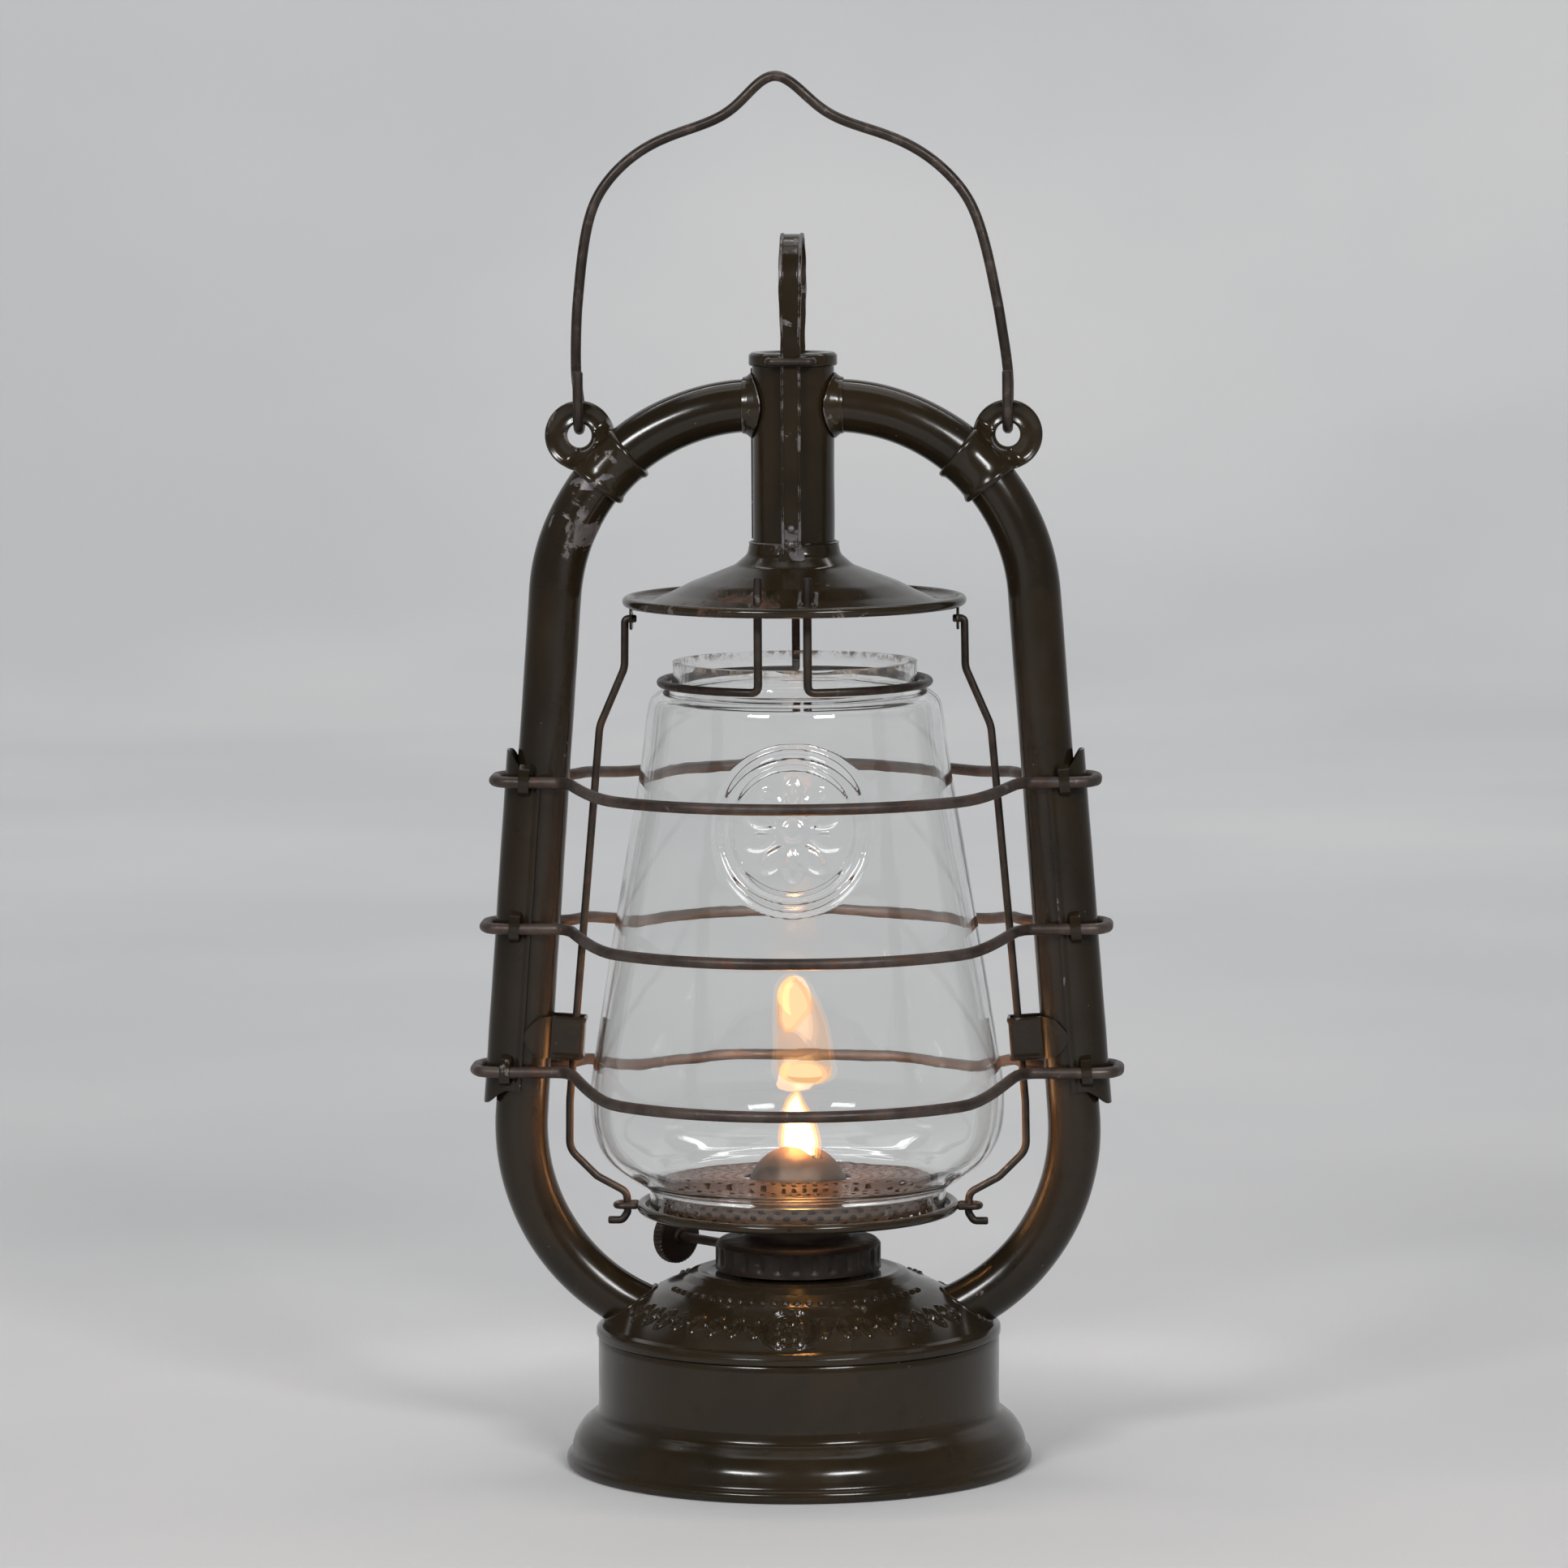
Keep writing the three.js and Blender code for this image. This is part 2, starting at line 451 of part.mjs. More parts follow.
for (const [name, side] of sides) {
  // Half-elliptic cover over the outer side of the leg.
  const sleeve = new THREE.Shape()
    .absellipse(0, 0, SLEEVE.out, SLEEVE.half, -Math.PI / 2, Math.PI / 2, false, 0)
    .absellipse(0, 0, SLEEVE.out - SLEEVE.thick, SLEEVE.half - SLEEVE.thick, Math.PI / 2, -Math.PI / 2, true, 0);
  const length = (SLEEVE.top - SLEEVE.bottom) / Math.cos(TUBE_LEAN);
  add(`sleeve_${name}`, onLeg(new THREE.ExtrudeGeometry(sleeve,
    { depth: length, bevelEnabled: false, curveSegments: 10 }).translate(0, 0, -length / 2),
  side, (SLEEVE.top + SLEEVE.bottom) / 2), enamel);

  // Strip around the inner side of the leg, with a nose that the side wire slides in.
  const strip = (r, nose, half) => {
    const open = Math.asin(half / r);
    const arc = Array.from({ length: 5 }, (_, i) => Math.PI / 2 + ((Math.PI / 2 - open) * i) / 4);
    const upper = arc.map((a) => [r * Math.cos(a), r * Math.sin(a)]);
    return [...upper, [-nose, half], [-nose, -half], ...upper.map(([px, py]) => [px, -py]).reverse()];
  };
  const outline = [...strip(TUBE_R + 1.2, CLIP.nose, CLIP.half),
    ...strip(TUBE_R + 0.4, CLIP.nose - 0.8, CLIP.half - 0.8).reverse()];
  const clip = new THREE.Shape(outline.map((p) => new THREE.Vector2(...p)));
  add(`clip_${name}`, onLeg(new THREE.ExtrudeGeometry(clip, { depth: CLIP.tall, bevelEnabled: false })
    .translate(0, 0, -CLIP.tall / 2), side, CLIP.z), enamel);
}

export default lantern;
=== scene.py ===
"""Tubular hurricane lantern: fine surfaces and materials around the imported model.

Lengths are in millimetres in the shape helpers and become metres when a mesh is made.
The frame is the model's own: +Z up, air tubes in the XZ plane, front of the lantern at -Y.
"""
import math

import bmesh
import bpy
from mathutils import Matrix, Quaternion, Vector, noise


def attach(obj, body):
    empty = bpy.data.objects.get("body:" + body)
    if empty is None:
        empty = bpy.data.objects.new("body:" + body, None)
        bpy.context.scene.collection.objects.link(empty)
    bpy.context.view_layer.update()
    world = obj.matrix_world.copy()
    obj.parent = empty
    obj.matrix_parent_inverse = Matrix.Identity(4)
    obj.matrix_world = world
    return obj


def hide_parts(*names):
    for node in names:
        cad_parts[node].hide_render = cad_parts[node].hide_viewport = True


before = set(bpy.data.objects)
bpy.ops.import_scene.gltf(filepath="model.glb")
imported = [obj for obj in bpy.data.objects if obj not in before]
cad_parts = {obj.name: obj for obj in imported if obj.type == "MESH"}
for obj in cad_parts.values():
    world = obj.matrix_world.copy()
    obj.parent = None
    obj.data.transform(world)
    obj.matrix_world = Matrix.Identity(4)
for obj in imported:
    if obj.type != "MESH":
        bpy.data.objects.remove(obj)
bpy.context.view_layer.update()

noise.seed_set(1)  # without a seed the dents would follow the clock

MM = 0.001
RIGHT_ANGLE = math.pi / 2
SIDES = (("left", -1), ("right", 1))

# ------------------------------------------------------------------ sizes (mm)
SHEET = 0.8
SEAM_Z = 40.0
SPINDLE_TURN = math.radians(136.5)
SPINDLE_Z, SPINDLE_OFFSET, KNOB_AT = 62.6, 5.1, 60.6
FILLER_AT, FILLER_LEAN = (0, 43.5, 54.4), math.radians(-27)
PLATE_Z, DRUM_R = 79.7, 41.5
CHIMNEY_R, HOOD_Z = 12.5, 266.6
TUBE_R, TUBE_LEAN = 8.1, math.radians(4.25)
TOP_ARC = (11.5, 264.2, 62.0)
LOW_ARC = (22.7, 104.0, 62.5)
TUBES_MEET_Z = TOP_ARC[1] + TOP_ARC[2]
EAR_ANGLE, EAR_HOLE = math.radians(44.5), 75.6
BAIL_PIVOT, BAIL_HOOK, BAIL_TOP = 324.35, 5.4, 426.9
GUARD_R, GUARD_WIRE, GUARD_Y = 70.0, 1.75, 11.15
GUARDS = (("guard_top", 211.7, 209.5), ("guard_middle", 166.6, 163.2), ("guard_low", 122.3, 117.2))
RETAINER_R, RETAINER_Z = 41.0, 241.7
THIN_WIRE, RETAINER_WIRE, BAIL_WIRE = 1.2, 1.3, 1.6


def tube_x(z):
    """Middle of an air tube's straight leg at a height."""
    x, arc_z, r = TOP_ARC
    return x + r * math.cos(TUBE_LEAN) + (arc_z + r * math.sin(TUBE_LEAN) - z) * math.tan(TUBE_LEAN)


def smoothstep(value, low, high):
    t = min(max((value - low) / (high - low), 0), 1)
    return t * t * (3 - 2 * t)


# ------------------------------------------------------------------ shape helpers
def polar(r, a):
    return r * math.cos(a), r * math.sin(a)


def around(count):
    """Even angles round a full turn."""
    return [2 * math.pi * i / count for i in range(count)]


def circle(radius, count):
    return [polar(radius, a) for a in around(count)]


def box(half_x, half_y):
    return [(-half_x, -half_y), (half_x, -half_y), (half_x, half_y), (-half_x, half_y)]


def rounded(corners, bend=1.0, steps=6, loop=False):
    """Polyline with its corners rounded. A corner may carry its own bend radius as (point, radius)."""
    plain = [(Vector(c[0]), c[1]) if isinstance(c[0], tuple) else (Vector(c), bend) for c in corners]
    count, out = len(plain), []
    for i, (p, radius) in enumerate(plain):
        if not loop and i in (0, count - 1):
            out.append(p)
            continue
        back, on = plain[i - 1][0] - p, plain[(i + 1) % count][0] - p
        turn = math.pi - back.angle(on)
        if radius <= 0 or turn < 0.02:
            out.append(p)
            continue
        reach = min(radius * math.tan(turn / 2), back.length * 0.48, on.length * 0.48)
        a, b = p + back.normalized() * reach, p + on.normalized() * reach
        for k in range(steps + 1):
            t = k / steps
            out.append(a * (1 - t) ** 2 + p * (2 * t * (1 - t)) + b * t ** 2)
    return out


def outline(corners, bend=1.0, steps=6):
    """Closed outline with rounded corners, as plain tuples."""
    return [p.to_tuple() for p in rounded(corners, bend, steps, loop=True)]


def smooth_curve(points, per_span=8, loop=False):
    """Catmull-Rom curve through the points."""
    pts = [Vector(p) for p in points]
    count = len(pts)
    spans = count if loop else count - 1

    def at(i):
        return pts[i % count] if loop else pts[min(max(i, 0), count - 1)]

    out = []
    for i in range(spans):
        p0, p1, p2, p3 = at(i - 1), at(i), at(i + 1), at(i + 2)
        for k in range(per_span):
            t = k / per_span
            out.append(0.5 * (2 * p1 + (p2 - p0) * t + (2 * p0 - 5 * p1 + 4 * p2 - p3) * t ** 2
                              + (3 * p1 - p0 - 3 * p2 + p3) * t ** 3))
    return out if loop else out + [pts[-1]]


def heading(line, i):
    """Direction along a line at one of its points."""
    return (line[min(i + 1, len(line) - 1)] - line[max(i - 1, 0)]).normalized()


def thinned(outer, thickness):
    """Closed section of a sheet: the outer line, and the same line set in by the thickness."""
    inner = []
    for i, p in enumerate(outer):
        along = heading(outer, i)
        inner.append(Vector((max(p.x - along.y * thickness, 0), p.y + along.x * thickness)))
    return list(outer) + inner[::-1]


def divided(line, step):
    """The same line with points no further apart than the step."""
    out = []
    for a, b in zip(line, line[1:]):
        n = max(1, math.ceil((b - a).length / step))
        out += [a.lerp(b, k / n) for k in range(n)]
    return out + [line[-1]]


def skinned(bm, rings, loop=False, caps=False, slit=0):
    """Faces between neighbouring rings of vertices. A slit of 1 leaves the rings open."""
    for a, b in list(zip(rings, rings[1:])) + ([(rings[-1], rings[0])] if loop else []):
        for i in range(len(a) - slit):
            j = (i + 1) % len(a)
            bm.faces.new((a[i], a[j], b[j], b[i]))
    if caps:
        bm.faces.new(rings[0][::-1])
        bm.faces.new(rings[-1])
    return bm


def turned(section, facets=160, loop=True):
    """Mesh turned around +Z from (radius, height) points."""
    bm = bmesh.new()
    rings = []
    for r, z in ((p[0], p[1]) for p in section):
        on_axis = r < 1e-3
        rings.append([bm.verts.new((0, 0, z))] if on_axis else
                     [bm.verts.new((*polar(r, a), z)) for a in around(facets)])
    pairs = list(zip(rings, rings[1:])) + ([(rings[-1], rings[0])] if loop else [])
    for a, b in pairs:
        for i in range(facets):
            j = (i + 1) % facets
            face = [a[i % len(a)], a[j % len(a)], b[j % len(b)], b[i % len(b)]]
            face = [v for k, v in enumerate(face) if v not in face[:k]]
            if len(face) > 2:
                bm.faces.new(face)
    return bm


def swept(points, radius, sides=20, loop=False, section=None):
    """Round wire (or a given section of (side, up) pairs) along the points. Radius may be a list."""
    pts = [Vector(p) for p in points]
    count = len(pts)
    radii = radius if isinstance(radius, (list, tuple)) else [radius] * count
    section = section or circle(1, sides)
    tangents = []
    for i in range(count):
        before = pts[i - 1] if (loop or i) else pts[0]
        after = pts[(i + 1) % count] if (loop or i < count - 1) else pts[-1]
        tangents.append((after - before).normalized())
    up = Vector((0, 1, 0)) if abs(tangents[0].y) < 0.9 else Vector((0, 0, 1))
    side = tangents[0].cross(up).normalized()
    frames = []
    for i in range(count):
        if i:
            side = (tangents[i - 1].rotation_difference(tangents[i]) @ side).normalized()
        frames.append((side.copy(), tangents[i].cross(side).normalized()))
    if loop:  # close the small twist left after one turn
        end = tangents[-1].rotation_difference(tangents[0]) @ side
        twist = end.angle(frames[0][0]) * (1 if end.cross(frames[0][0]).dot(tangents[0]) > 0 else -1)
        frames = [(Quaternion(t, twist * i / count) @ a, Quaternion(t, twist * i / count) @ b)
                  for i, (t, (a, b)) in enumerate(zip(tangents, frames))]
    bm = bmesh.new()
    rings = [[bm.verts.new(p + (a * u + b * v) * r) for u, v in section]
             for p, (a, b), r in zip(pts, frames, radii)]
    return skinned(bm, rings, loop=loop, caps=not loop)


def wire(points, radius, sides=18):
    """Round wire with softened cut ends."""
    pts = [Vector(p) for p in points]
    first, last = (pts[0] - pts[1]).normalized(), (pts[-1] - pts[-2]).normalized()
    soft = 0.3 * radius
    pts = [pts[0], pts[0] - first * soft] + pts[1:-1] + [pts[-1] - last * soft, pts[-1]]
    radii = [radius * 0.75] + [radius] * (len(pts) - 2) + [radius * 0.75]
    return swept(pts, radii, sides)


def prism(shape, low, high):
    """Straight prism from an (x, y) outline."""
    bm = bmesh.new()
    face = bm.faces.new([bm.verts.new((x, y, low)) for x, y in shape])
    moved = bmesh.ops.extrude_face_region(bm, geom=[face])["geom"]
    moved = [v for v in moved if isinstance(v, bmesh.types.BMVert)]
    bmesh.ops.translate(bm, vec=(0, 0, high - low), verts=moved)
    return bm


def as_mesh(bm, name="temp"):
    mesh = bpy.data.meshes.new(name)
    bm.to_mesh(mesh)
    bm.free()
    return mesh


def added(name, data):
    """New object in the scene."""
    ob = bpy.data.objects.new(name, data)
    bpy.context.scene.collection.objects.link(ob)
    return ob


def joined(*meshes):
    """All the given bmeshes in one."""
    out = bmesh.new()
    for bm in meshes:
        temp = as_mesh(bm)
        out.from_mesh(temp)
        bpy.data.meshes.remove(temp)
    return out


def placed(bm, matrix):
    bmesh.ops.transform(bm, matrix=matrix, verts=bm.verts[:])
    return bm


def at(place, turn=0.0, axis="X"):
    """Matrix that turns a shape and then moves it."""
    return Matrix.Translation(place) @ Matrix.Rotation(turn, 4, axis)


def mirrored(bm, side):
    """The same mesh on the left (side -1) or as it is (side 1)."""
    if side < 0:
        bmesh.ops.scale(bm, vec=(-1, 1, 1), verts=bm.verts[:])
        bmesh.ops.reverse_faces(bm, faces=bm.faces[:])
    return bm


def applied(bm, kind, **settings):
    """The mesh with one modifier applied."""
    temp = as_mesh(bm)
    ob = added("temp", temp)
    modifier = ob.modifiers.new("m", kind)
    for key, value in settings.items():
        setattr(modifier, key, value)
    done = bpy.data.meshes.new_from_object(ob.evaluated_get(bpy.context.evaluated_depsgraph_get()))
    out = bmesh.new()
    out.from_mesh(done)
    bpy.data.objects.remove(ob)
    bpy.data.meshes.remove(temp)
    bpy.data.meshes.remove(done)
    return out


def carved(bm, cutter):
    """The mesh with another mesh cut out of it."""
    bmesh.ops.recalc_face_normals(cutter, faces=cutter.faces[:])
    mesh = as_mesh(cutter, "cutter")
    tool = added("cutter", mesh)
    bmesh.ops.recalc_face_normals(bm, faces=bm.faces[:])
    bm = applied(bm, "BOOLEAN", operation="DIFFERENCE", solver="EXACT", object=tool)
    bpy.data.objects.remove(tool)
    bpy.data.meshes.remove(mesh)
    return bm


def thick(bm, amount):
    """Open sheet made solid, half the thickness to each side."""
    bm.normal_update()
    bmesh.ops.recalc_face_normals(bm, faces=bm.faces[:])
    return applied(bm, "SOLIDIFY", thickness=amount, offset=0.0)


def dented(bm, depth=0.1, size=22.0, keep_below=3.0):
    """Shallow unevenness of hand-worked sheet metal."""
    for v in bm.verts:
        if v.co.z > keep_below:
            v.co += noise.noise_vector(v.co / size) * depth
    return bm


def set_values(ob, name, values):
    ob.data.attributes.new(name, "FLOAT", "POINT").data.foreach_set("value", values)


def set_spots(ob, name, spots):
    """Attribute on the vertices: the strongest of some soft spots (x, y, z, radius, strength) in mm."""
    set_values(ob, name, [max((s * (1 - smoothstep((v.co / MM - Vector((x, y, z))).length, 0.3 * r, r))
                               for x, y, z, r, s in spots), default=0) for v in ob.data.vertices])


def set_wear(ob, sharp=1.4):
    """Attribute "wear": 1 on tight outward curves such as rims and folds, 0 on flat faces."""
    bm = bmesh.new()
    bm.from_mesh(ob.data)
    bm.verts.ensure_lookup_table()
    value = [0.0] * len(bm.verts)
    for edge in bm.edges:
        if len(edge.link_faces) != 2:
            continue
        across = sum(f.calc_area() for f in edge.link_faces) / max(edge.calc_length(), 1e-9) / 2
        bend = edge.calc_face_angle_signed(0.0) / max(across / MM, 0.15)
        for v in edge.verts:
            value[v.index] = max(value[v.index], bend)
    value = [min(max((x - 0.2) / sharp, 0), 1) for x in value]
    for _ in range(2):
        value = [0.5 * value[v.index] + 0.5 * sum(value[e.other_vert(v).index] for e in v.link_edges)
                 / max(len(v.link_edges), 1) for v in bm.verts]
    bm.free()
    set_values(ob, "wear", value)


def piece(name, bm, body, slot, material, stands_for=None, crease=38, wear=True):
    """Object from a bmesh in millimetres, riding on a body."""
    bmesh.ops.remove_doubles(bm, verts=bm.verts[:], dist=1e-4)
    bmesh.ops.recalc_face_normals(bm, faces=bm.faces[:])
    bmesh.ops.scale(bm, vec=(MM, MM, MM), verts=bm.verts[:])
    mesh = as_mesh(bm, name)
    mesh.shade_smooth()
    mesh.set_sharp_from_angle(angle=math.radians(crease))
    mesh.materials.append(material)
    ob = added(name, mesh)
    if wear:
        set_wear(ob)
    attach(ob, body)
    if stands_for:
        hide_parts(stands_for)
    return ob


def fine(node, bm, body, slot, material, **settings):
    """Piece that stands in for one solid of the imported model."""
    return piece(f"{node}_fine", bm, body, slot, material, node, **settings)


# ------------------------------------------------------------------ material helpers
class Shader:
    """A material's node tree, with short calls to add nodes."""

    def __init__(self, name):
        self.material = bpy.data.materials.new(name)
        self.material.use_nodes = True
        self.tree = self.material.node_tree
        self.tree.nodes.clear()
        self.output = self.tree.nodes.new("ShaderNodeOutputMaterial")
        self.place = self.node("TexCoord").outputs["Object"]

    def node(self, kind, settings=None, **inputs):
        made = self.tree.nodes.new("ShaderNode" + kind)
        for key, value in (settings or {}).items():
            setattr(made, key, value)
        for key, value in inputs.items():
            self.feed(made.inputs[key.replace("_", " ")], value)
        return made

    def feed(self, socket, value):
        if isinstance(value, bpy.types.NodeSocket):
            self.tree.links.new(value, socket)
        elif isinstance(value, tuple) and len(value) == 3 and socket.type == "RGBA":
            socket.default_value = (*value, 1)
        else:
            socket.default_value = value

    def joint(self, made, first, values):
        """Output of a node whose inputs are fed in order, from a given one on."""
        for i, value in zip(first, values):
            self.feed(made.inputs[i], value)
        return made

    def noise(self, scale, detail=4.0, rough=0.55, warp=0.0):
        return self.node("TexNoise", Vector=self.place, Scale=scale, Detail=detail, Roughness=rough,
                         Distortion=warp).outputs["Fac"]

    def plus(self, a, b, operation="ADD"):
        return self.joint(self.node("Math", {"operation": operation}), (0, 1), (a, b)).outputs[0]

    def times(self, a, b):
        return self.plus(a, b, "MULTIPLY")

    def span(self, value, low, high, to_low=0.0, to_high=1.0):
        made = self.node("MapRange", {"interpolation_type": "SMOOTHSTEP"})
        return self.joint(made, range(5), (value, low, high, to_low, to_high)).outputs[0]

    def mix(self, factor, a, b):
        return self.joint(self.node("Mix", {"data_type": "RGBA"}), (0, 6, 7), (factor, a, b)).outputs[2]

    def blend(self, factor, a, b):
        return self.joint(self.node("Mix"), (0, 2, 3), (factor, a, b)).outputs[0]

    def mix_surface(self, factor, a, b):
        return self.joint(self.node("MixShader"), range(3), (factor, a, b)).outputs[0]

    def attribute(self, name):
        return self.node("Attribute", {"attribute_name": name}).outputs["Fac"]

    def bump(self, height, distance):
        return self.node("Bump", Height=height, Distance=distance * MM).outputs[0]

    def surface(self, kind="BsdfPrincipled", **inputs):
        return self.node(kind, **inputs).outputs[0]

    def finish(self, surface):
        self.tree.links.new(surface, self.output.inputs["Surface"])
        return self.material


def enamel(name, chips=0.5, rust=0.0, tint=(0.0150, 0.0108, 0.0056), gloss=0.11):
    """Dark olive-brown enamel on sheet steel, chipped to grey metal, with rust where asked."""
    s = Shader(name)
    wear = s.attribute("wear")
    warm = (tint[0] * 1.55, tint[1] * 1.4, tint[2] * 1.3)
    dull = (tint[0] * 0.6, tint[1] * 0.6, tint[2] * 0.62)
    paint = s.mix(s.span(s.noise(26, 3, 0.5), 0.35, 0.7), tint, warm)
    paint = s.mix(s.span(s.noise(90, 5, 0.6), 0.5, 0.75, 0, 0.45), paint, dull)

    where = s.plus(s.noise(95, 9, 0.66, 0.5), s.times(wear, 0.16))
    where = s.plus(where, s.times(s.noise(14, 2, 0.5), 0.16))
    where = s.plus(where, s.times(s.attribute("scuff"), 0.19))
    edge = 0.84 - 0.13 * chips
    chip = s.span(where, edge, edge + 0.012)
    rim = s.span(where, edge - 0.016, edge + 0.002)
    cells = s.node("TexVoronoi", {"feature": "F1"}, Vector=s.place, Scale=210.0, Randomness=1.0)
    dots = s.span(cells.outputs["Distance"], 0.055, 0.03)
    dots = s.times(dots, s.span(s.noise(60, 2, 0.5), 0.5, 0.62))

    metal = s.mix(s.span(s.noise(240, 6, 0.7), 0.35, 0.7), (0.095, 0.086, 0.091), (0.19, 0.175, 0.175))
    metal = s.mix(s.span(s.noise(120, 5, 0.7), 0.55, 0.75), metal, (0.085, 0.045, 0.028))
    colour = s.mix(s.times(rim, 0.5), paint, (0.16, 0.125, 0.095))
    colour = s.mix(chip, colour, metal)
    colour = s.mix(s.times(dots, 0.55), colour, (0.2, 0.18, 0.16))

    rough = s.span(s.noise(70, 6, 0.65), 0.25, 0.8, gloss, gloss + 0.15)
    rough = s.blend(chip, rough, 0.42)
    metallic = s.times(chip, 0.55)
    height = s.plus(s.times(s.noise(420, 3, 0.5), 0.12), chip, "SUBTRACT")
    if rust:
        stain = s.plus(s.noise(75, 9, 0.72, 0.8), s.times(wear, 0.08))
        stain = s.plus(stain, s.times(s.attribute("stain"), 0.22))
        rusty = s.span(stain, 0.78 - 0.1 * rust, 0.98 - 0.1 * rust)
        oxide = s.mix(s.span(s.noise(190, 7, 0.75), 0.35, 0.68), (0.040, 0.017, 0.010), (0.115, 0.058, 0.036))
        colour = s.mix(s.times(rusty, 0.85), colour, oxide)
        rough = s.blend(rusty, rough, 0.62)
        metallic = s.times(metallic, s.plus(1.0, rusty, "SUBTRACT"))
        height = s.plus(height, s.times(rusty, s.noise(520, 5, 0.7)))
    return s.finish(s.surface(Base_Color=colour, Roughness=rough, Metallic=metallic,
                              Normal=s.bump(height, 0.07), Specular_IOR_Level=0.33))


def old_wire(name, dark, light, rust, gloss=0.38):
    """Browned steel wire with rubbed bright spots and rust freckles."""
    s = Shader(name)
    base = s.mix(s.span(s.noise(60, 6, 0.65), 0.35, 0.7), dark, light)
    freckle = s.span(s.noise(170, 8, 0.72, 0.3), 0.52, 0.66)
    base = s.mix(s.times(freckle, 0.7), base, rust)
    rub = s.span(s.plus(s.noise(130, 7, 0.7), s.times(s.attribute("wear"), 0.03)), 0.62, 0.72)
    base = s.mix(s.times(rub, 0.6), base, (0.2, 0.175, 0.165))
    rough = s.span(s.noise(210, 5, 0.6), 0.3, 0.75, gloss, gloss + 0.22)
    height = s.plus(s.noise(380, 6, 0.7), s.times(freckle, 0.5))
    return s.finish(s.surface(Base_Color=base, Roughness=rough, Metallic=0.45, Normal=s.bump(height, 0.05)))


def burner_metal(name, tint, soot=(0.012, 0.009, 0.008)):
    """Heat-browned sheet metal with soot and dust."""
    s = Shader(name)
    colour = s.mix(s.span(s.noise(70, 6, 0.7), 0.35, 0.7), tint, tuple(c * 0.55 for c in tint))
    colour = s.mix(s.span(s.noise(150, 7, 0.75), 0.5, 0.72), colour, soot)
    colour = s.mix(s.span(s.noise(330, 5, 0.7), 0.66, 0.74, 0, 0.5), colour, (0.2, 0.15, 0.11))
    rough = s.span(s.noise(160, 5, 0.6), 0.3, 0.7, 0.34, 0.62)
    return s.finish(s.surface(Base_Color=colour, Roughness=rough, Metallic=0.55,
                              Normal=s.bump(s.noise(460, 5, 0.65), 0.05)))


def clear_glass(name):
    """Old pressed glass: slightly wavy, with a haze of dust and soot near the top."""
    s = Shader(name)
    wave = s.plus(s.noise(24, 2, 0.5), s.times(s.noise(75, 2, 0.5), 0.22))
    pane = s.surface(Normal=s.bump(wave, 0.22), Base_Color=(0.985, 0.99, 0.985), Roughness=0.0, IOR=1.47,
                     Transmission_Weight=1.0)
    clear = s.surface("BsdfTransparent", Color=(0.96, 0.965, 0.96))
    lit = s.mix_surface(s.node("LightPath").outputs["Is Shadow Ray"], pane, clear)
    dust = s.surface(Roughness=0.8, Base_Color=(0.32, 0.27, 0.22))
    lip = s.times(s.attribute("stain"), s.span(s.noise(170, 8, 0.75), 0.47, 0.62))
    haze = s.times(s.span(s.noise(620, 6, 0.8), 0.66, 0.76), 0.16)
    return s.finish(s.mix_surface(s.plus(lip, haze, "MAXIMUM"), lit, dust))


def woven_wick(name):
    """Flat cotton braid, charred at its top edge."""
    s = Shader(name)
    height = s.node("SeparateXYZ", Vector=s.place).outputs["Z"]
    along = s.node("Mapping", Vector=s.place, Rotation=(0.0, 0.0, -SPINDLE_TURN)).outputs[0]
    weave = s.node("TexWave", {"wave_type": "BANDS", "bands_direction": "X"}, Vector=along, Scale=330.0,
                   Distortion=1.5, Detail=2.0).outputs["Fac"]
    picks = s.node("TexWave", {"wave_type": "BANDS", "bands_direction": "Z"}, Vector=s.place, Scale=260.0,
                   Distortion=1.0, Detail=2.0).outputs["Fac"]
    cloth = s.mix(s.times(weave, picks), (0.28, 0.23, 0.16), (0.58, 0.51, 0.39))
    char = s.span(s.plus(height, s.times(s.noise(300, 4, 0.6), 0.003)), 0.0925, 0.0955)
    return s.finish(s.surface(Base_Color=s.mix(char, cloth, (0.01, 0.008, 0.007)), Roughness=0.95,
                              Sheen_Weight=0.3, Normal=s.bump(s.plus(weave, picks), 0.25)))


def dull_rubber(name):
    s = Shader(name)
    colour = s.mix(s.span(s.noise(160, 6, 0.7), 0.4, 0.65), (0.02, 0.017, 0.015), (0.05, 0.042, 0.035))
    return s.finish(s.surface(Base_Color=colour, Roughness=0.85, Normal=s.bump(s.noise(600, 4, 0.6), 0.04)))


def glow(name, colour, strength, tinted=0.0):
    """Light added over what lies behind. tinted is how far the flame's own colour tints it."""
    s = Shader(name)
    clear = tuple(1 - tinted * (1 - part) for part in colour)
    both = s.joint(s.node("AddShader"), range(2), (s.surface("Emission", Color=colour, Strength=strength),
                                                   s.surface("BsdfTransparent", Color=clear)))
    return s.finish(both.outputs[0])


# ------------------------------------------------------------------ finishes
PAINT = enamel("enamel_tank", chips=0.2)
PAINT_TUBES = enamel("enamel_tubes", chips=0.38, tint=(0.0120, 0.0086, 0.0046))
PAINT_TOP = enamel("enamel_chimney", chips=0.5)
PAINT_STRAP = enamel("enamel_strap", chips=1.0)
PAINT_HOOD = enamel("enamel_hood", chips=0.75, rust=1.0)
PAINT_PLATE = enamel("enamel_plate", chips=0.12, rust=0.25, tint=(0.026, 0.016, 0.010), gloss=0.2)
GUARD_STEEL = old_wire("guard_steel", (0.030, 0.021, 0.017), (0.085, 0.064, 0.054), (0.090, 0.036, 0.020))
DARK_WIRE = old_wire("dark_wire", (0.016, 0.011, 0.008), (0.036, 0.026, 0.019), (0.055, 0.026, 0.016), 0.3)
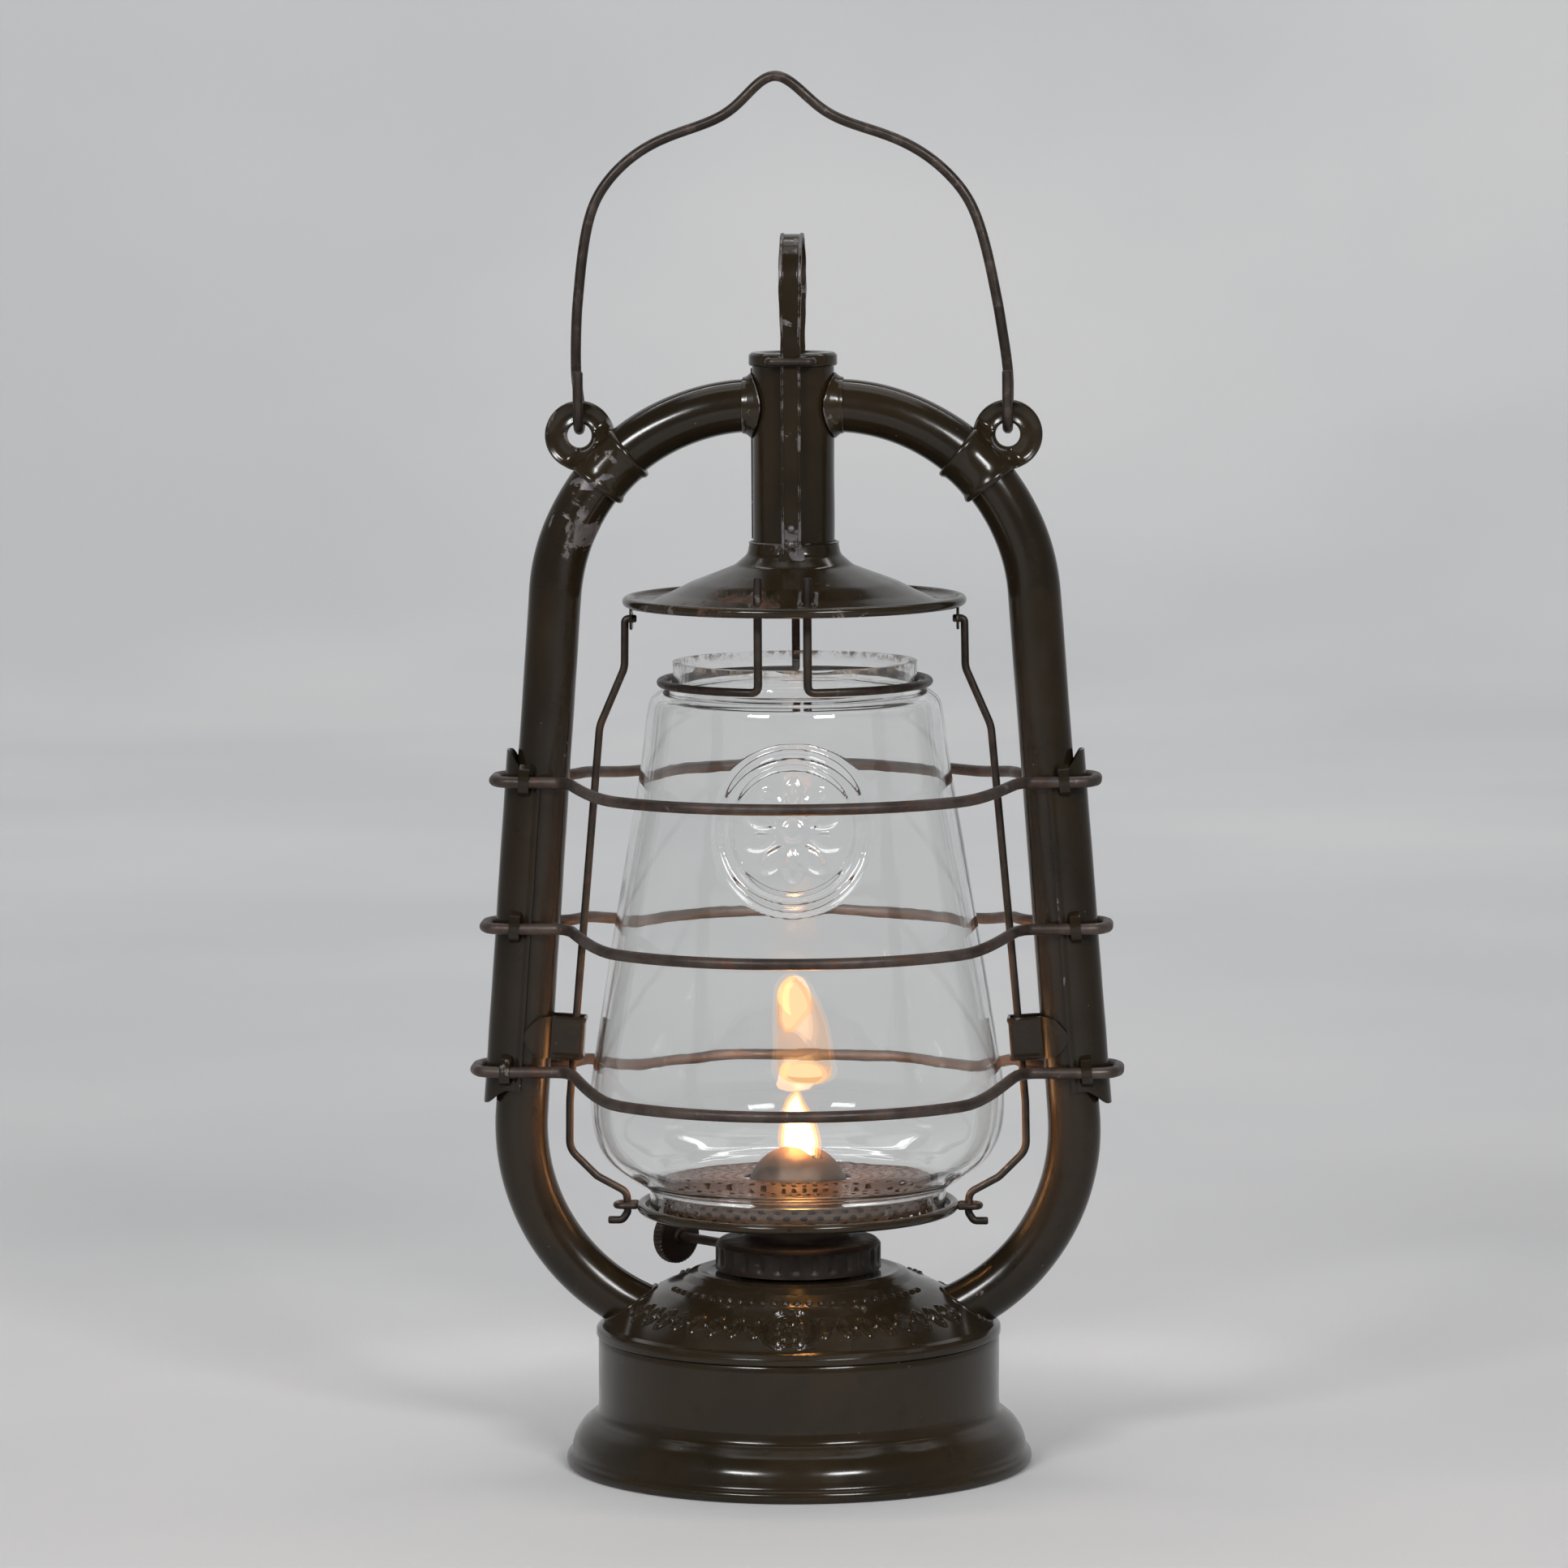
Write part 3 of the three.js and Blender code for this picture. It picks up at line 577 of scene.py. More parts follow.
BAIL_STEEL = old_wire("bail_steel", (0.018, 0.012, 0.009), (0.040, 0.029, 0.022), (0.085, 0.060, 0.052), 0.3)
COLLAR_STEEL = burner_metal("collar_steel", (0.030, 0.020, 0.014))
CONE_STEEL = burner_metal("cone_steel", (0.085, 0.053, 0.033), (0.020, 0.013, 0.009))
KNOB_METAL = burner_metal("knob_metal", (0.040, 0.026, 0.018))
GLASS = clear_glass("globe_glass")
COTTON = woven_wick("wick_cotton")
RUBBER = dull_rubber("filler_rubber")


# ------------------------------------------------------------------ raised ornament
def front_angles(dense, half, coarse):
    """Angles round +Z, dense within half a span either side of the front, coarse behind. Given in degrees."""
    dense, half, coarse = (math.radians(a) for a in (dense, half, coarse))
    front = -math.pi / 2
    near = math.ceil(2 * half / dense)
    far = math.ceil((2 * math.pi - 2 * half) / coarse)
    return ([front - half + 2 * half * i / near for i in range(near)]
            + [front + half + (2 * math.pi - 2 * half) * i / far for i in range(far)])


def from_front(angle):
    """The angle measured from the front, between minus and plus half a turn."""
    return (angle + math.pi / 2 + math.pi) % (2 * math.pi) - math.pi


def relief_turned(outer, thickness, angles, relief, pressed=True):
    """Turned sheet whose outer face is raised by relief(radius, height, angle) in mm.
    In a pressed sheet the inner face follows; cast glass stays smooth inside."""
    bm = bmesh.new()
    outside, inside = [], []
    for i, p in enumerate(outer):
        d = heading(outer, i)
        rises = [relief(p.x, p.y, a) if 0 < i < len(outer) - 1 else 0 for a in angles]
        for skin, follow, inset in ((outside, 1, 0), (inside, int(pressed), thickness)):
            outs = [rise * follow - inset for rise in rises]
            skin.append([bm.verts.new((*polar(p.x + d.y * out, a), p.y - d.x * out))
                         for a, out in zip(angles, outs)])
    return skinned(bm, outside + inside[::-1], loop=True)


def ridge(distance, half, soft=0.35):
    """1 within half of the line, falling softly to 0."""
    return 1 - smoothstep(abs(distance), half - soft, half + soft)


def rosette(x, y, size, petals):
    """Plain rings round a small flower, as raised lines. x and y are in mm from its middle."""
    r = math.hypot(x, y)
    rings = max(ridge(r - size, 0.045 * size), ridge(r - size * 0.82, 0.03 * size))
    a = (math.atan2(y, x) * petals / (2 * math.pi)) % 1 - 0.5
    leaf = smoothstep(r, 0.2 * size, 0.26 * size) * (1 - smoothstep(r, 0.6 * size, 0.66 * size))
    leaf *= ridge(a, 0.36 * math.sin(math.pi * min(max((r / size - 0.18) / 0.48, 0), 1)), 0.08)
    return max(rings, leaf * 0.9, 1 - smoothstep(r, 0.1 * size, 0.15 * size))


# ------------------------------------------------------------------ tank
BAND_R, BAND_PITCH, BAND_RISE = 51, math.radians(7.6), 0.8
TANK_BADGE_R, TANK_BADGE_RISE = 8.4, 0.85


def dome_relief(r, z, angle):
    """Raised band round the tank's dome: ovals and dots, with a plain rosette at the front."""
    turn = from_front(angle)
    slope = (51.2 - r) * 1.18
    side = turn * BAND_R
    if math.hypot(side, slope) < 10:
        return TANK_BADGE_RISE * rosette(side, slope, TANK_BADGE_R, 8)
    if abs(abs(turn) - math.pi / 2) < 0.34 or abs(turn) > 2.55:  # bare at the tubes' feet and behind
        return 0
    cell = ((turn / BAND_PITCH) % 1 - 0.5) * BAND_PITCH * BAND_R
    oval = math.hypot(cell / 2.1, slope / 4.2)
    dot = math.hypot(abs(cell) - BAND_PITCH * 25.5, slope)
    upper = math.hypot(((turn / BAND_PITCH * 1.5) % 1 - 0.5) * BAND_PITCH * 41 / 1.5, (40.2 - r) * 1.1)
    return BAND_RISE * max(ridge(oval - 0.8, 0.2, 0.14), 1 - smoothstep(dot, 0.5, 1.0),
                           1 - smoothstep(upper, 0.6, 1.2))


wall = smooth_curve([(69.3, 0.1), (70.2, 0.0), (71.2, 0.3), (71.8, 1.5), (71.5, 3.1), (70.4, 4.4), (69.9, 6.6),
                     (69.0, 9.4), (67.0, 12.5), (64.4, 14.8), (62.4, 16.6), (61.8, 19.5)], 7)
wall = divided(wall + [Vector((61.8, 39.4)), Vector((61.5, 39.9))], 2.2)
fine("tank_wall", dented(turned(thinned(wall, SHEET), 200), 0.16, 24), "frame", "enamel", PAINT)
floor_line = rounded([(0.0, 6.2), (39.5, 6.2), (44, 5.2), (68.4, 5.2)], 2.5)
fine("tank_floor", turned(thinned(floor_line[::-1], -SHEET), 120), "frame", "enamel", PAINT)

dome = rounded([((61.7, 40.05), 0), ((62.4, 40.5), 0.4), ((62.3, 42.3), 0.8), ((61.0, 43.5), 1.0),
                ((59.3, 44.1), 1.0), ((51, 49.9), 16), ((42.5, 54.9), 16), ((35.6, 57.5), 2.2),
                ((33.6, 59.2), 1.2), ((31, 60.0), 1.2), ((28.4, 59.5), 1.0), ((20.8, 59.4), 0)], steps=7)
dome = divided(dome, 0.5)
dome_mesh = relief_turned(dome, SHEET, front_angles(0.42, 78, 0.9), dome_relief)
filler_frame = at(FILLER_AT, FILLER_LEAN)
dome_mesh = carved(dome_mesh, placed(prism(circle(10.7, 48), -9, 9), filler_frame))
fine("tank_dome", dented(dome_mesh, 0.14, 20, 42), "frame", "enamel", PAINT)


def fluted(section, facets, low, high, teeth, depth):
    """Turned shape with flutes cut between two heights on its outermost wall."""
    bm = turned(section, facets)
    widest = max(p[0] for p in section)
    for v in bm.verts:
        r = math.hypot(v.co.x, v.co.y)
        if r > widest - 0.25 and low <= v.co.z <= high:
            cut = (r - depth * (0.5 - 0.5 * math.cos(teeth * math.atan2(v.co.y, v.co.x)))) / r
            v.co.x, v.co.y = v.co.x * cut, v.co.y * cut
    return bm


neck = rounded([((9.7, -4), 0), ((10.5, -4), 0.2), ((10.5, 6), 0.3), ((9.7, 6), 0.3), ((9.7, -4), 0)], steps=3)
neck_foot = rounded([((10.4, 0.2), 0), ((13.2, -2.6), 0.8), ((13.4, -3.4), 0.2), ((10.4, -3.4), 0)], 1.2,
                    loop=True)
neck_mesh = joined(turned(neck, 64), turned(neck_foot, 64))
fine("filler_neck", placed(neck_mesh, filler_frame), "frame", "enamel", PAINT)
gasket = turned(rounded([(7, 6.3), (11, 6.3), (11, 7.2), (7, 7.2)], 0.3, loop=True), 64)
fine("filler_gasket", placed(gasket, filler_frame), "filler_gasket", "gasket", RUBBER)
cap = rounded([((0.0, 8.5), 0), ((7, 8.5), 0.6), ((8, 9), 0.5), ((12.2, 9), 1.0), ((13, 8.2), 0.6),
               ((13, 2.2), 0.4), ((12.6, 1.8), 0.2), ((11.6, 1.8), 0.2), ((11.4, 7.5), 0.3), ((0.0, 7.5), 0)],
              steps=4)
cap_mesh = fluted(divided(cap, 1.2), 192, 2.6, 8.0, 48, 0.45)
fine("filler_cap", placed(cap_mesh, filler_frame), "filler_cap", "enamel", PAINT_TOP)

# ------------------------------------------------------------------ burner
burner_frame = Matrix.Rotation(SPINDLE_TURN, 4, "Z")
spindle_frame = (burner_frame @ Matrix.Translation((0, -SPINDLE_OFFSET, SPINDLE_Z))
                 @ Matrix.Rotation(RIGHT_ANGLE, 4, "Y"))
DIMPLES, DIMPLE_DEPTH, DIMPLE_Z = 28, 0.6, 65.0


def collar_relief(r, z, angle):
    notch = (angle * DIMPLES / (2 * math.pi)) % 1 - 0.5
    return -DIMPLE_DEPTH * ridge(notch, 0.15, 0.13) * ridge(z - DIMPLE_Z, 2.6, 0.7)


collar = rounded([((25.5, 60.5), 0), ((25.5, 68.0), 1.0), ((24.2, 69.2), 0.8), ((17.2, 70), 1.4),
                  ((16, 71.4), 1.0), ((15.6, 79.3), 0)], steps=5)
collar_mesh = placed(relief_turned(divided(collar, 0.5), 0.7, around(320), collar_relief), burner_frame)
collar_mesh = carved(collar_mesh, placed(prism(circle(1.9, 24), 14, 34), spindle_frame))
fine("burner_collar", collar_mesh, "burner", "burner", COLLAR_STEEL)

cone = smooth_curve([(15.2, 79.6), (15.2, 82.6), (14.5, 87.4), (12.4, 91.9), (8.9, 95.5), (4.7, 97.5),
                     (0.0, 98.0)], 8)
slot_cut = prism(outline(box(10, 2.2), 1.6), 92.2, 104)
cone_foot = rounded([(15.1, 79.7), (15.7, 79.9), (15.7, 80.7), (15.1, 80.9)], 0.3, loop=True)
cone_mesh = joined(carved(turned(thinned(cone, 0.6), 96, loop=False), slot_cut), turned(cone_foot, 96))
fine("burner_cone", placed(cone_mesh, burner_frame), "burner", "burner", CONE_STEEL)


def ring_plate(hole, rim, profile, middle=0.0):
    """Plate with a hole, in the local XY plane. profile: (0 at the hole to 1 at the rim, half thickness)."""
    bm = bmesh.new()
    loops = [[bm.verts.new((a[0] + (b[0] - a[0]) * t, a[1] + (b[1] - a[1]) * t, middle + sign * h))
              for a, b in zip(hole, rim)]
             for sign, order in ((-1, profile), (1, profile[::-1])) for t, h in order]
    return skinned(bm, loops, loop=True)


def box_ring(half_x, half_y, count):
    """Points round a rectangle, at even angles, starting on +X."""
    return [polar(min(half_x / max(abs(math.cos(a)), 1e-9), half_y / max(abs(math.sin(a)), 1e-9)), a)
            for a in around(count)]


def box_pipe(wide, deep, metal, low, high):
    outer = outline(box(wide / 2, deep / 2), deep * 0.4)
    inner = [(x * (wide - 2 * metal) / wide, y * (deep - 2 * metal) / deep) for x, y in outer]
    return ring_plate(inner, outer, [(0, (high - low) / 2), (1, (high - low) / 2)], (high + low) / 2)


deck_mesh = ring_plate(box_ring(9.6, 2.3, 96), circle(14.4, 96),
                       [(0, 0.2), (0.03, 0.4), (0.97, 0.4), (1, 0.2)], 74.4)
fine("burner_deck", placed(deck_mesh, burner_frame), "burner", "burner", CONE_STEEL)
wick_tube = placed(box_pipe(18.4, 3.9, 0.5, 68.6, 92.6), burner_frame)
fine("wick_tube", wick_tube, "burner", "burner", CONE_STEEL)

WICK_LOW, WICK_TOP, WICK_ROWS = 18, 95.6, 110


def wick_mesh():
    """Flat braid with a soft edge and a slightly uneven charred top."""
    bm = bmesh.new()
    rim = rounded(box(8.2, 1), 0.8, 4, loop=True)
    rim = divided(rim + [rim[0]], 0.7)[:-1]
    rows = []
    for k in range(WICK_ROWS + 1):
        z = WICK_LOW + (WICK_TOP - WICK_LOW) * k / WICK_ROWS
        soft = 1 - 0.25 * smoothstep(z, 95.0, WICK_TOP)
        uneven = 0.5 * smoothstep(z, 94.5, WICK_TOP)
        rows.append([bm.verts.new((p.x * (1 + 0.006 * math.sin(z * 3.1)),
                                   p.y * soft * (1 + 0.05 * math.sin(p.x * 4.2 + z * 4)),
                                   z - (0.5 + 0.5 * math.sin(p.x * 1.7)) * uneven)) for p in rim])
    return placed(skinned(bm, rows, caps=True), burner_frame)


fine("wick", wick_mesh(), "wick", "wick", COTTON)

wheel = [polar(4.0 if i % 2 == 0 else 3.2, math.pi * i / 14) for i in range(28)]
spindle_rod = turned(rounded([((0.0, -9), 0), ((1.5, -9), 0.4), ((1.5, KNOB_AT - 2.8), 0.1),
                              ((0.0, KNOB_AT - 2.8), 0)], steps=4), 32, loop=False)
spindle_mesh = joined(spindle_rod, *[prism(wheel, s - 0.6, s + 0.6) for s in (-4.5, 4.5)])
fine("wick_spindle", placed(spindle_mesh, spindle_frame), "spindle", "burner", KNOB_METAL, crease=25)
bush = turned(rounded([(1.85, 25.9), (2.6, 25.9), (2.6, 29.5), (1.85, 29.5)], 0.3, loop=True), 40)
fine("spindle_bush", placed(bush, spindle_frame), "burner", "burner", COLLAR_STEEL)
knob = rounded([((0.0, -2.5), 0), ((2.4, -2.5), 0.4), ((2.4, -1.6), 0.5), ((7.7, -1.6), 0.8), ((8.7, -0.9), 0.5),
                ((8.7, 1.8), 0.6), ((7.8, 2.3), 0.5), ((6.4, 1.4), 0.8), ((3.4, 0.8), 1.2), ((1.7, 0.9), 0.4),
                ((1.3, 1.6), 0.4), ((0.0, 1.7), 0)], steps=4)
knob_mesh = fluted([p + Vector((0, KNOB_AT)) for p in divided(knob, 0.7)], 180,
                   KNOB_AT - 1.6, KNOB_AT + 2.3, 40, 0.55)
fine("wick_knob", placed(knob_mesh, spindle_frame), "spindle", "knob", KNOB_METAL)


# ------------------------------------------------------------------ globe plate
def perforated(place, columns, rows, wide, tall, points=16):
    """Sheet of cells in staggered rows, each with an oval hole. place(u, v) is a point for cell counts."""
    bm = bmesh.new()
    edge = [(0.5, 0), (0.5, 0.25), (0.5, 0.5), (0.25, 0.5), (0, 0.5), (-0.25, 0.5), (-0.5, 0.5), (-0.5, 0.25)]
    edge += [(-a, -b) for a, b in edge]
    for j in range(rows):
        for i in range(columns):
            u, v = i + 0.5 + 0.5 * (j % 2), j + 0.5
            outer = [bm.verts.new(place(u + a, v + b)) for a, b in edge]
            inner = [bm.verts.new(place(u + wide * math.cos(a), v + tall * math.sin(a)))
                     for a in around(points)]
            for k in range(points):
                n = (k + 1) % points
                bm.faces.new((outer[k], outer[n], inner[n], inner[k]))
    bmesh.ops.remove_doubles(bm, verts=bm.verts[:], dist=2e-3)
    return bm


DRUM_HOLES, DECK_HOLES = 51, 44


def on_drum(u, v):
    r = DRUM_R - 0.35 + 0.15 * math.cos(v)
    return Vector((*polar(r, 2 * math.pi * u / DRUM_HOLES), 79.0 + v * 1.95))


def on_deck(u, v):
    r = 18.2 + v * 3.4
    return Vector((*polar(r, 2 * math.pi * u / DECK_HOLES), 86.25 - 0.35 * smoothstep(r, 30, 38.6)))


rolled = [(48.1 + 1.5 * math.cos(a), PLATE_Z + 1.5 * math.sin(a))
          for a in map(math.radians, range(-120, 205, 12))]
rim_line = [(DRUM_R - 0.7, 78.35), (46.8, 78.35)] + rolled + [(46.5, 79.05), (DRUM_R - 0.7, 79.05)]
rim_mesh = carved(turned([Vector(p) for p in rim_line], 160),
                  placed(prism(circle(0.6, 16), 48.4, 52), at((0, 0, PLATE_Z), RIGHT_ANGLE)))
piece("globe_plate_rim", rim_mesh, "lift", "enamel", PAINT_TOP, "globe_plate")
shoulder = rounded([((DRUM_R - 0.7, 84.8), 0), ((DRUM_R - 0.05, 84.8), 0.1), ((DRUM_R - 0.1, 85.5), 0.7),
                    ((39.8, 86.15), 0.8), ((38.5, 86.3), 0), ((38.5, 85.6), 0), ((39.8, 85.3), 0.3)], steps=4)
inner_lip = rounded([((18.3, 86.6), 0), ((16.9, 86.6), 0.3), ((16.6, 86.2), 0.2), ((16.7, 85.8), 0.2),
                     ((18.3, 85.9), 0)], steps=3)
drum_mesh = joined(turned(shoulder, 160), turned(inner_lip, 96),
                   thick(perforated(on_drum, DRUM_HOLES, 3, 0.24, 0.37), 0.6),
                   thick(perforated(on_deck, DECK_HOLES, 6, 0.25, 0.28), 0.6))
piece("globe_plate_drum", drum_mesh, "lift", "enamel", PAINT_PLATE)
baffle = rounded([(38.2, 79.4), (38.9, 79.4), (38.9, 85.6), (38.2, 85.6)], 0.2, loop=True)
piece("globe_plate_baffle", turned(baffle, 96), "lift", "enamel", COLLAR_STEEL)
for label, side in SIDES:
    eye = [(side * x, y, PLATE_Z) for x, y in ((49.4, -3.2), (56.1, -3.2), (56.1, 3.2), (49.4, 3.2))]
    fine(f"plate_eye_{label}", wire(rounded(eye, 3.0, 8), 1.0), "lift", "wire", DARK_WIRE)

# ------------------------------------------------------------------ globe
BADGE_X, BADGE_Z, BADGE_R = 1.8, 201.0, 24.0
GLASS_THICK, ROUGH_RIM_Z = 2.0, (245.5, 248.0)


def globe_relief(r, z, angle):
    """Raised rings and flower on the glass, a mould seam at each side and a slight waviness."""
    turn = from_front(angle)
    seam = 0.12 * ridge(abs(abs(turn) - math.pi / 2) * r, 0.4, 0.3)
    wave = 0.10 * noise.noise(Vector((*polar(r, angle), z * 0.7)) / 17)
    x, y = turn * r - BADGE_X, z - BADGE_Z
    badge = 0.55 * rosette(x, y, BADGE_R, 10) if math.hypot(x, y) < BADGE_R * 1.15 else 0
    return seam + wave + badge


globe_line = smooth_curve([
    (45.4, 79.6), (45.6, 82.0), (45.9, 85.4), (48.6, 87.5), (52.2, 89.7), (59.0, 95.4), (62.8, 103.4),
    (63.7, 113.8), (62.9, 122.5), (59.3, 145), (55.7, 167), (52.1, 188), (48.5, 209), (46.3, 224),
    (45.5, 231), (44.3, 236.2), (41.6, 238.8), (38.6, 240.4), (37.4, 243), (37.4, 248.0)], 6)
globe_line = [p for a, b in zip(globe_line, globe_line[1:])  # finer where the badge is
              for p in ([a] if b.y < 168 or a.y > 226 else divided([a, b], 0.7)[:-1])] + [globe_line[-1]]
globe_mesh = relief_turned(globe_line, GLASS_THICK, front_angles(0.8, 40, 2.2), globe_relief, pressed=False)
globe = fine("globe", globe_mesh, "lift", "glass", GLASS, crease=60, wear=False)
set_values(globe, "stain", [smoothstep(v.co.z / MM, *ROUGH_RIM_Z) for v in globe.data.vertices])

# ------------------------------------------------------------------ hood, lugs and lift strap
UPRIGHTS = (("left", -9.0, -40.0, -1.75), ("right", 6.0, -40.5, 1.75))


def hood_relief(r, z, angle):
    """Stamped covers where the retainer wires come through, and slight dents."""
    x, y = polar(r, angle)
    rise = 0
    for _, ux, uy, _ in UPRIGHTS:
        half = 1.9 if ux < 0 else 2.5
        rise = max(rise, 1.1 * ridge(x - ux, half, 0.7) * ridge(y - uy - 3.4, 4.2, 1.2))
    return rise + 0.12 * noise.noise(Vector((x, y, 0)) / 13)


hood_top = rounded([((50.2, 267.95), 0), ((49.3, 267.1), 0.5), ((46.2, 266.8), 1.5), ((43.8, 266.7), 2.0),
                    ((38, 269.1), 20), ((32, 272.2), 20), ((24, 275.2), 20), ((18.2, 277.5), 5),
                    ((14.3, 280.9), 3.2), ((13.7, 284.0), 1.0), ((13.9, 284.5), 0)], steps=7)
hood_mesh = relief_turned(divided(hood_top, 0.7), SHEET, front_angles(0.8, 30, 2.2), hood_relief)
bead = turned([(51.1 + 1.55 * math.cos(a), HOOD_Z + 1.55 * math.sin(a)) for a in around(20)], 160)
back_slot = prism([(-3.4, 39.3), (3.4, 39.3), (3.4, 42.7), (-3.4, 42.7)], 255, 285)
hood = fine("hood", joined(carved(hood_mesh, back_slot), bead), "lift", "enamel", PAINT_HOOD)
set_spots(hood, "stain", [(-14, -42, 268, 26, 1.0), (-30, -32, 270, 22, 0.8), (4, -46, 267, 14, 0.6),
                          (-12, -20, 276, 16, 0.7), (30, -38, 267, 12, 0.3)])
tab_rim = sorted(outline(box(3.5, 3.5), 2.2, 8), key=lambda p: math.atan2(p[1], p[0]))
tab_hole = [polar(1.6, math.atan2(y, x)) for x, y in tab_rim]
for label, side in SIDES:
    tab = ring_plate(tab_hole, tab_rim, [(0, 0.2), (0.1, 0.4), (0.92, 0.4), (1, 0.2)])
    place = at((side * 50, 0, 261.1), RIGHT_ANGLE, "Y")
    fine(f"hood_lug_{label}", placed(tab, place), "lift", "enamel", PAINT_HOOD)

STRAP_R, STRAP_HALF, STRAP_THICK = 15.1, 3.0, 0.6
across = [(-STRAP_HALF, -STRAP_THICK), (STRAP_HALF, -STRAP_THICK), (STRAP_HALF, STRAP_THICK * 0.75),
          (STRAP_HALF - 0.7, STRAP_THICK), (STRAP_HALF - 1.1, STRAP_THICK * 0.35),
          (-STRAP_HALF + 1.1, STRAP_THICK * 0.35), (-STRAP_HALF + 0.7, STRAP_THICK),
          (-STRAP_HALF, STRAP_THICK * 0.75)]
strap_path = [(0, -STRAP_R, 281.4 + k * 2.0) for k in range(41)]
strap_path += [(0, -STRAP_R * math.cos(math.pi * k / 40), 363 + STRAP_R * math.sin(math.pi * k / 40))
               for k in range(41)]
strap_path += [(0, STRAP_R, 361.4 - k * 2.0) for k in range(41)]
strap_mesh = swept(strap_path, 1.0, section=outline(across, 0.3, 3))
for v in strap_mesh.verts:
    v.co.x *= 1 + 0.16 * smoothstep(v.co.z, 346, 362) + 0.02 * math.sin(v.co.z * 0.7)
RIVET = [(0.0, 0.75), (0.6, 0.68), (1.05, 0.4), (1.2, 0.0), (1.2, -0.3), (0.0, -0.3)]
rivets = [placed(turned(RIVET, 20, loop=False), at((0, face * (STRAP_R + 0.5), z), face * -RIGHT_ANGLE))
          for face in (-1, 1) for z in (284.6, 289.4)]
foot = outline([(-4.2, -2.2), (4.2, -2.2), (3.1, 3.4), (-3.1, 3.4)], 1.0, 4)
feet = [placed(prism(foot, -0.45, 0.45), at((0, face * (STRAP_R - 0.1), 281.9), RIGHT_ANGLE))
        for face in (-1, 1)]
strap = fine("lift_strap", joined(strap_mesh, *rivets, *feet), "lift", "enamel", PAINT_STRAP)
set_spots(strap, "stain", [(0, -15, 284, 12, 0.9), (0, -15, 346, 9, 0.5)])

# ------------------------------------------------------------------ wires on the lift and the retainer
SIDE_WIRE = [((58.6, 74.9), 0), ((54.2, 74.9), 2), ((52.6, 77.4), 2), ((52.8, 83.6), 3.5), ((62, 88.6), 6),
             ((70.4, 97), 7), ((70.2, 112), 30), ((66.9, 150), 60), ((60, 228), 12), ((52.2, 246), 8),
             ((52, 261), 1.4), ((48.4, 261), 0)]
for label, side in SIDES:
    path = rounded([((side * x, 0, z), bend) for (x, z), bend in SIDE_WIRE], steps=8)
    fine(f"side_wire_{label}", wire(path, THIN_WIRE), "lift", "wire", DARK_WIRE)

for label, x, y, back in UPRIGHTS:
    side = math.copysign(1, back)
    start, end = math.atan2(y, side * x) + 0.08, math.pi / 2 - 0.0427
    ring = [((side * RETAINER_R * math.cos(start + (end - start) * i / 48),
              RETAINER_R * math.sin(start + (end - start) * i / 48), RETAINER_Z), 0) for i in range(1, 48)]
    path = rounded([((x, y, 276.5), 0), ((x, y, RETAINER_Z), 2.4)] + ring
                   + [((back, RETAINER_R, RETAINER_Z), 2.0), ((back, RETAINER_R, 272), 0)], steps=8)
    fine(f"retainer_{label}", wire(path, RETAINER_WIRE), "retainer", "wire", DARK_WIRE)

# ------------------------------------------------------------------ chimney
chimney = [Vector(p) for p in ((CHIMNEY_R, 272), (CHIMNEY_R, 341.2), (11.8, 341.2), (11.8, 272))]
seam_strip = prism([polar(12.2, a) for a in (2.9, 3.0, 3.1)] + [polar(12.95, a) for a in (3.1, 3.0, 2.9)],
                   285.5, 337.5)
chimney_mesh = joined(turned(divided(chimney + [chimney[0]], 2.5)[:-1], 96), seam_strip)
fine("chimney", dented(chimney_mesh, 0.12, 15), "frame", "enamel", PAINT_TOP)
cap_top = rounded([((0.0, 342.0), 0), ((9.0, 341.9), 1.0), ((10.2, 342.4), 0.8), ((12.6, 342.4), 0.9),
                   ((13.5, 341.6), 0.6), ((13.55, 338.8), 0.5), ((13.2, 338.3), 0.3), ((12.9, 338.6), 0.2),
                   ((12.75, 341.3), 0.3), ((0.0, 341.4), 0)], steps=4)
fine("chimney_cap", turned(divided(cap_top, 1.0), 96, loop=False), "frame", "enamel", PAINT_TOP)
for label, side in (("front", -1), ("back", 1)):
    path = [(x, side * y, 340.2) for x, y in ((-6.7, 12.4), (-6.7, 17.1), (6.7, 17.1), (6.7, 12.4))]
    fine(f"staple_{label}", wire(rounded(path, 2.2, 8), THIN_WIRE), "frame", "wire", DARK_WIRE)


# ------------------------------------------------------------------ air tubes
def arc(spec, start, end, steps, side=1):
    x, z, r = spec
    turns = [start + (end - start) * i / steps for i in range(steps + 1)]
    return [Vector((side * (x + r * math.cos(t)), 0, z + r * math.sin(t))) for t in turns]


def dome_height(r):
    """Height of the dome's outer face at a radius."""
    for a, b in zip(dome, dome[1:]):
        if a.x >= r >= b.x:
            return a.y + (b.y - a.y) * (a.x - r) / max(a.x - b.x, 1e-6)
    return SEAM_Z


def tube_foot(side):
    """Closed line where a tube's skin meets the dome."""
    line = []
    for phi in around(64):
        for step in range(400):
            t = TUBE_LEAN - (TUBE_LEAN + math.radians(68)) * step / 400
            reach = LOW_ARC[2] + TUBE_R * math.cos(phi)
            p = Vector((LOW_ARC[0] + reach * math.cos(t), TUBE_R * math.sin(phi),
                        LOW_ARC[1] + reach * math.sin(t)))
            if math.hypot(p.x, p.y) < 62 and p.z < dome_height(math.hypot(p.x, p.y)):
                line.append(Vector((p.x * side, p.y, p.z)))
                break
    return line


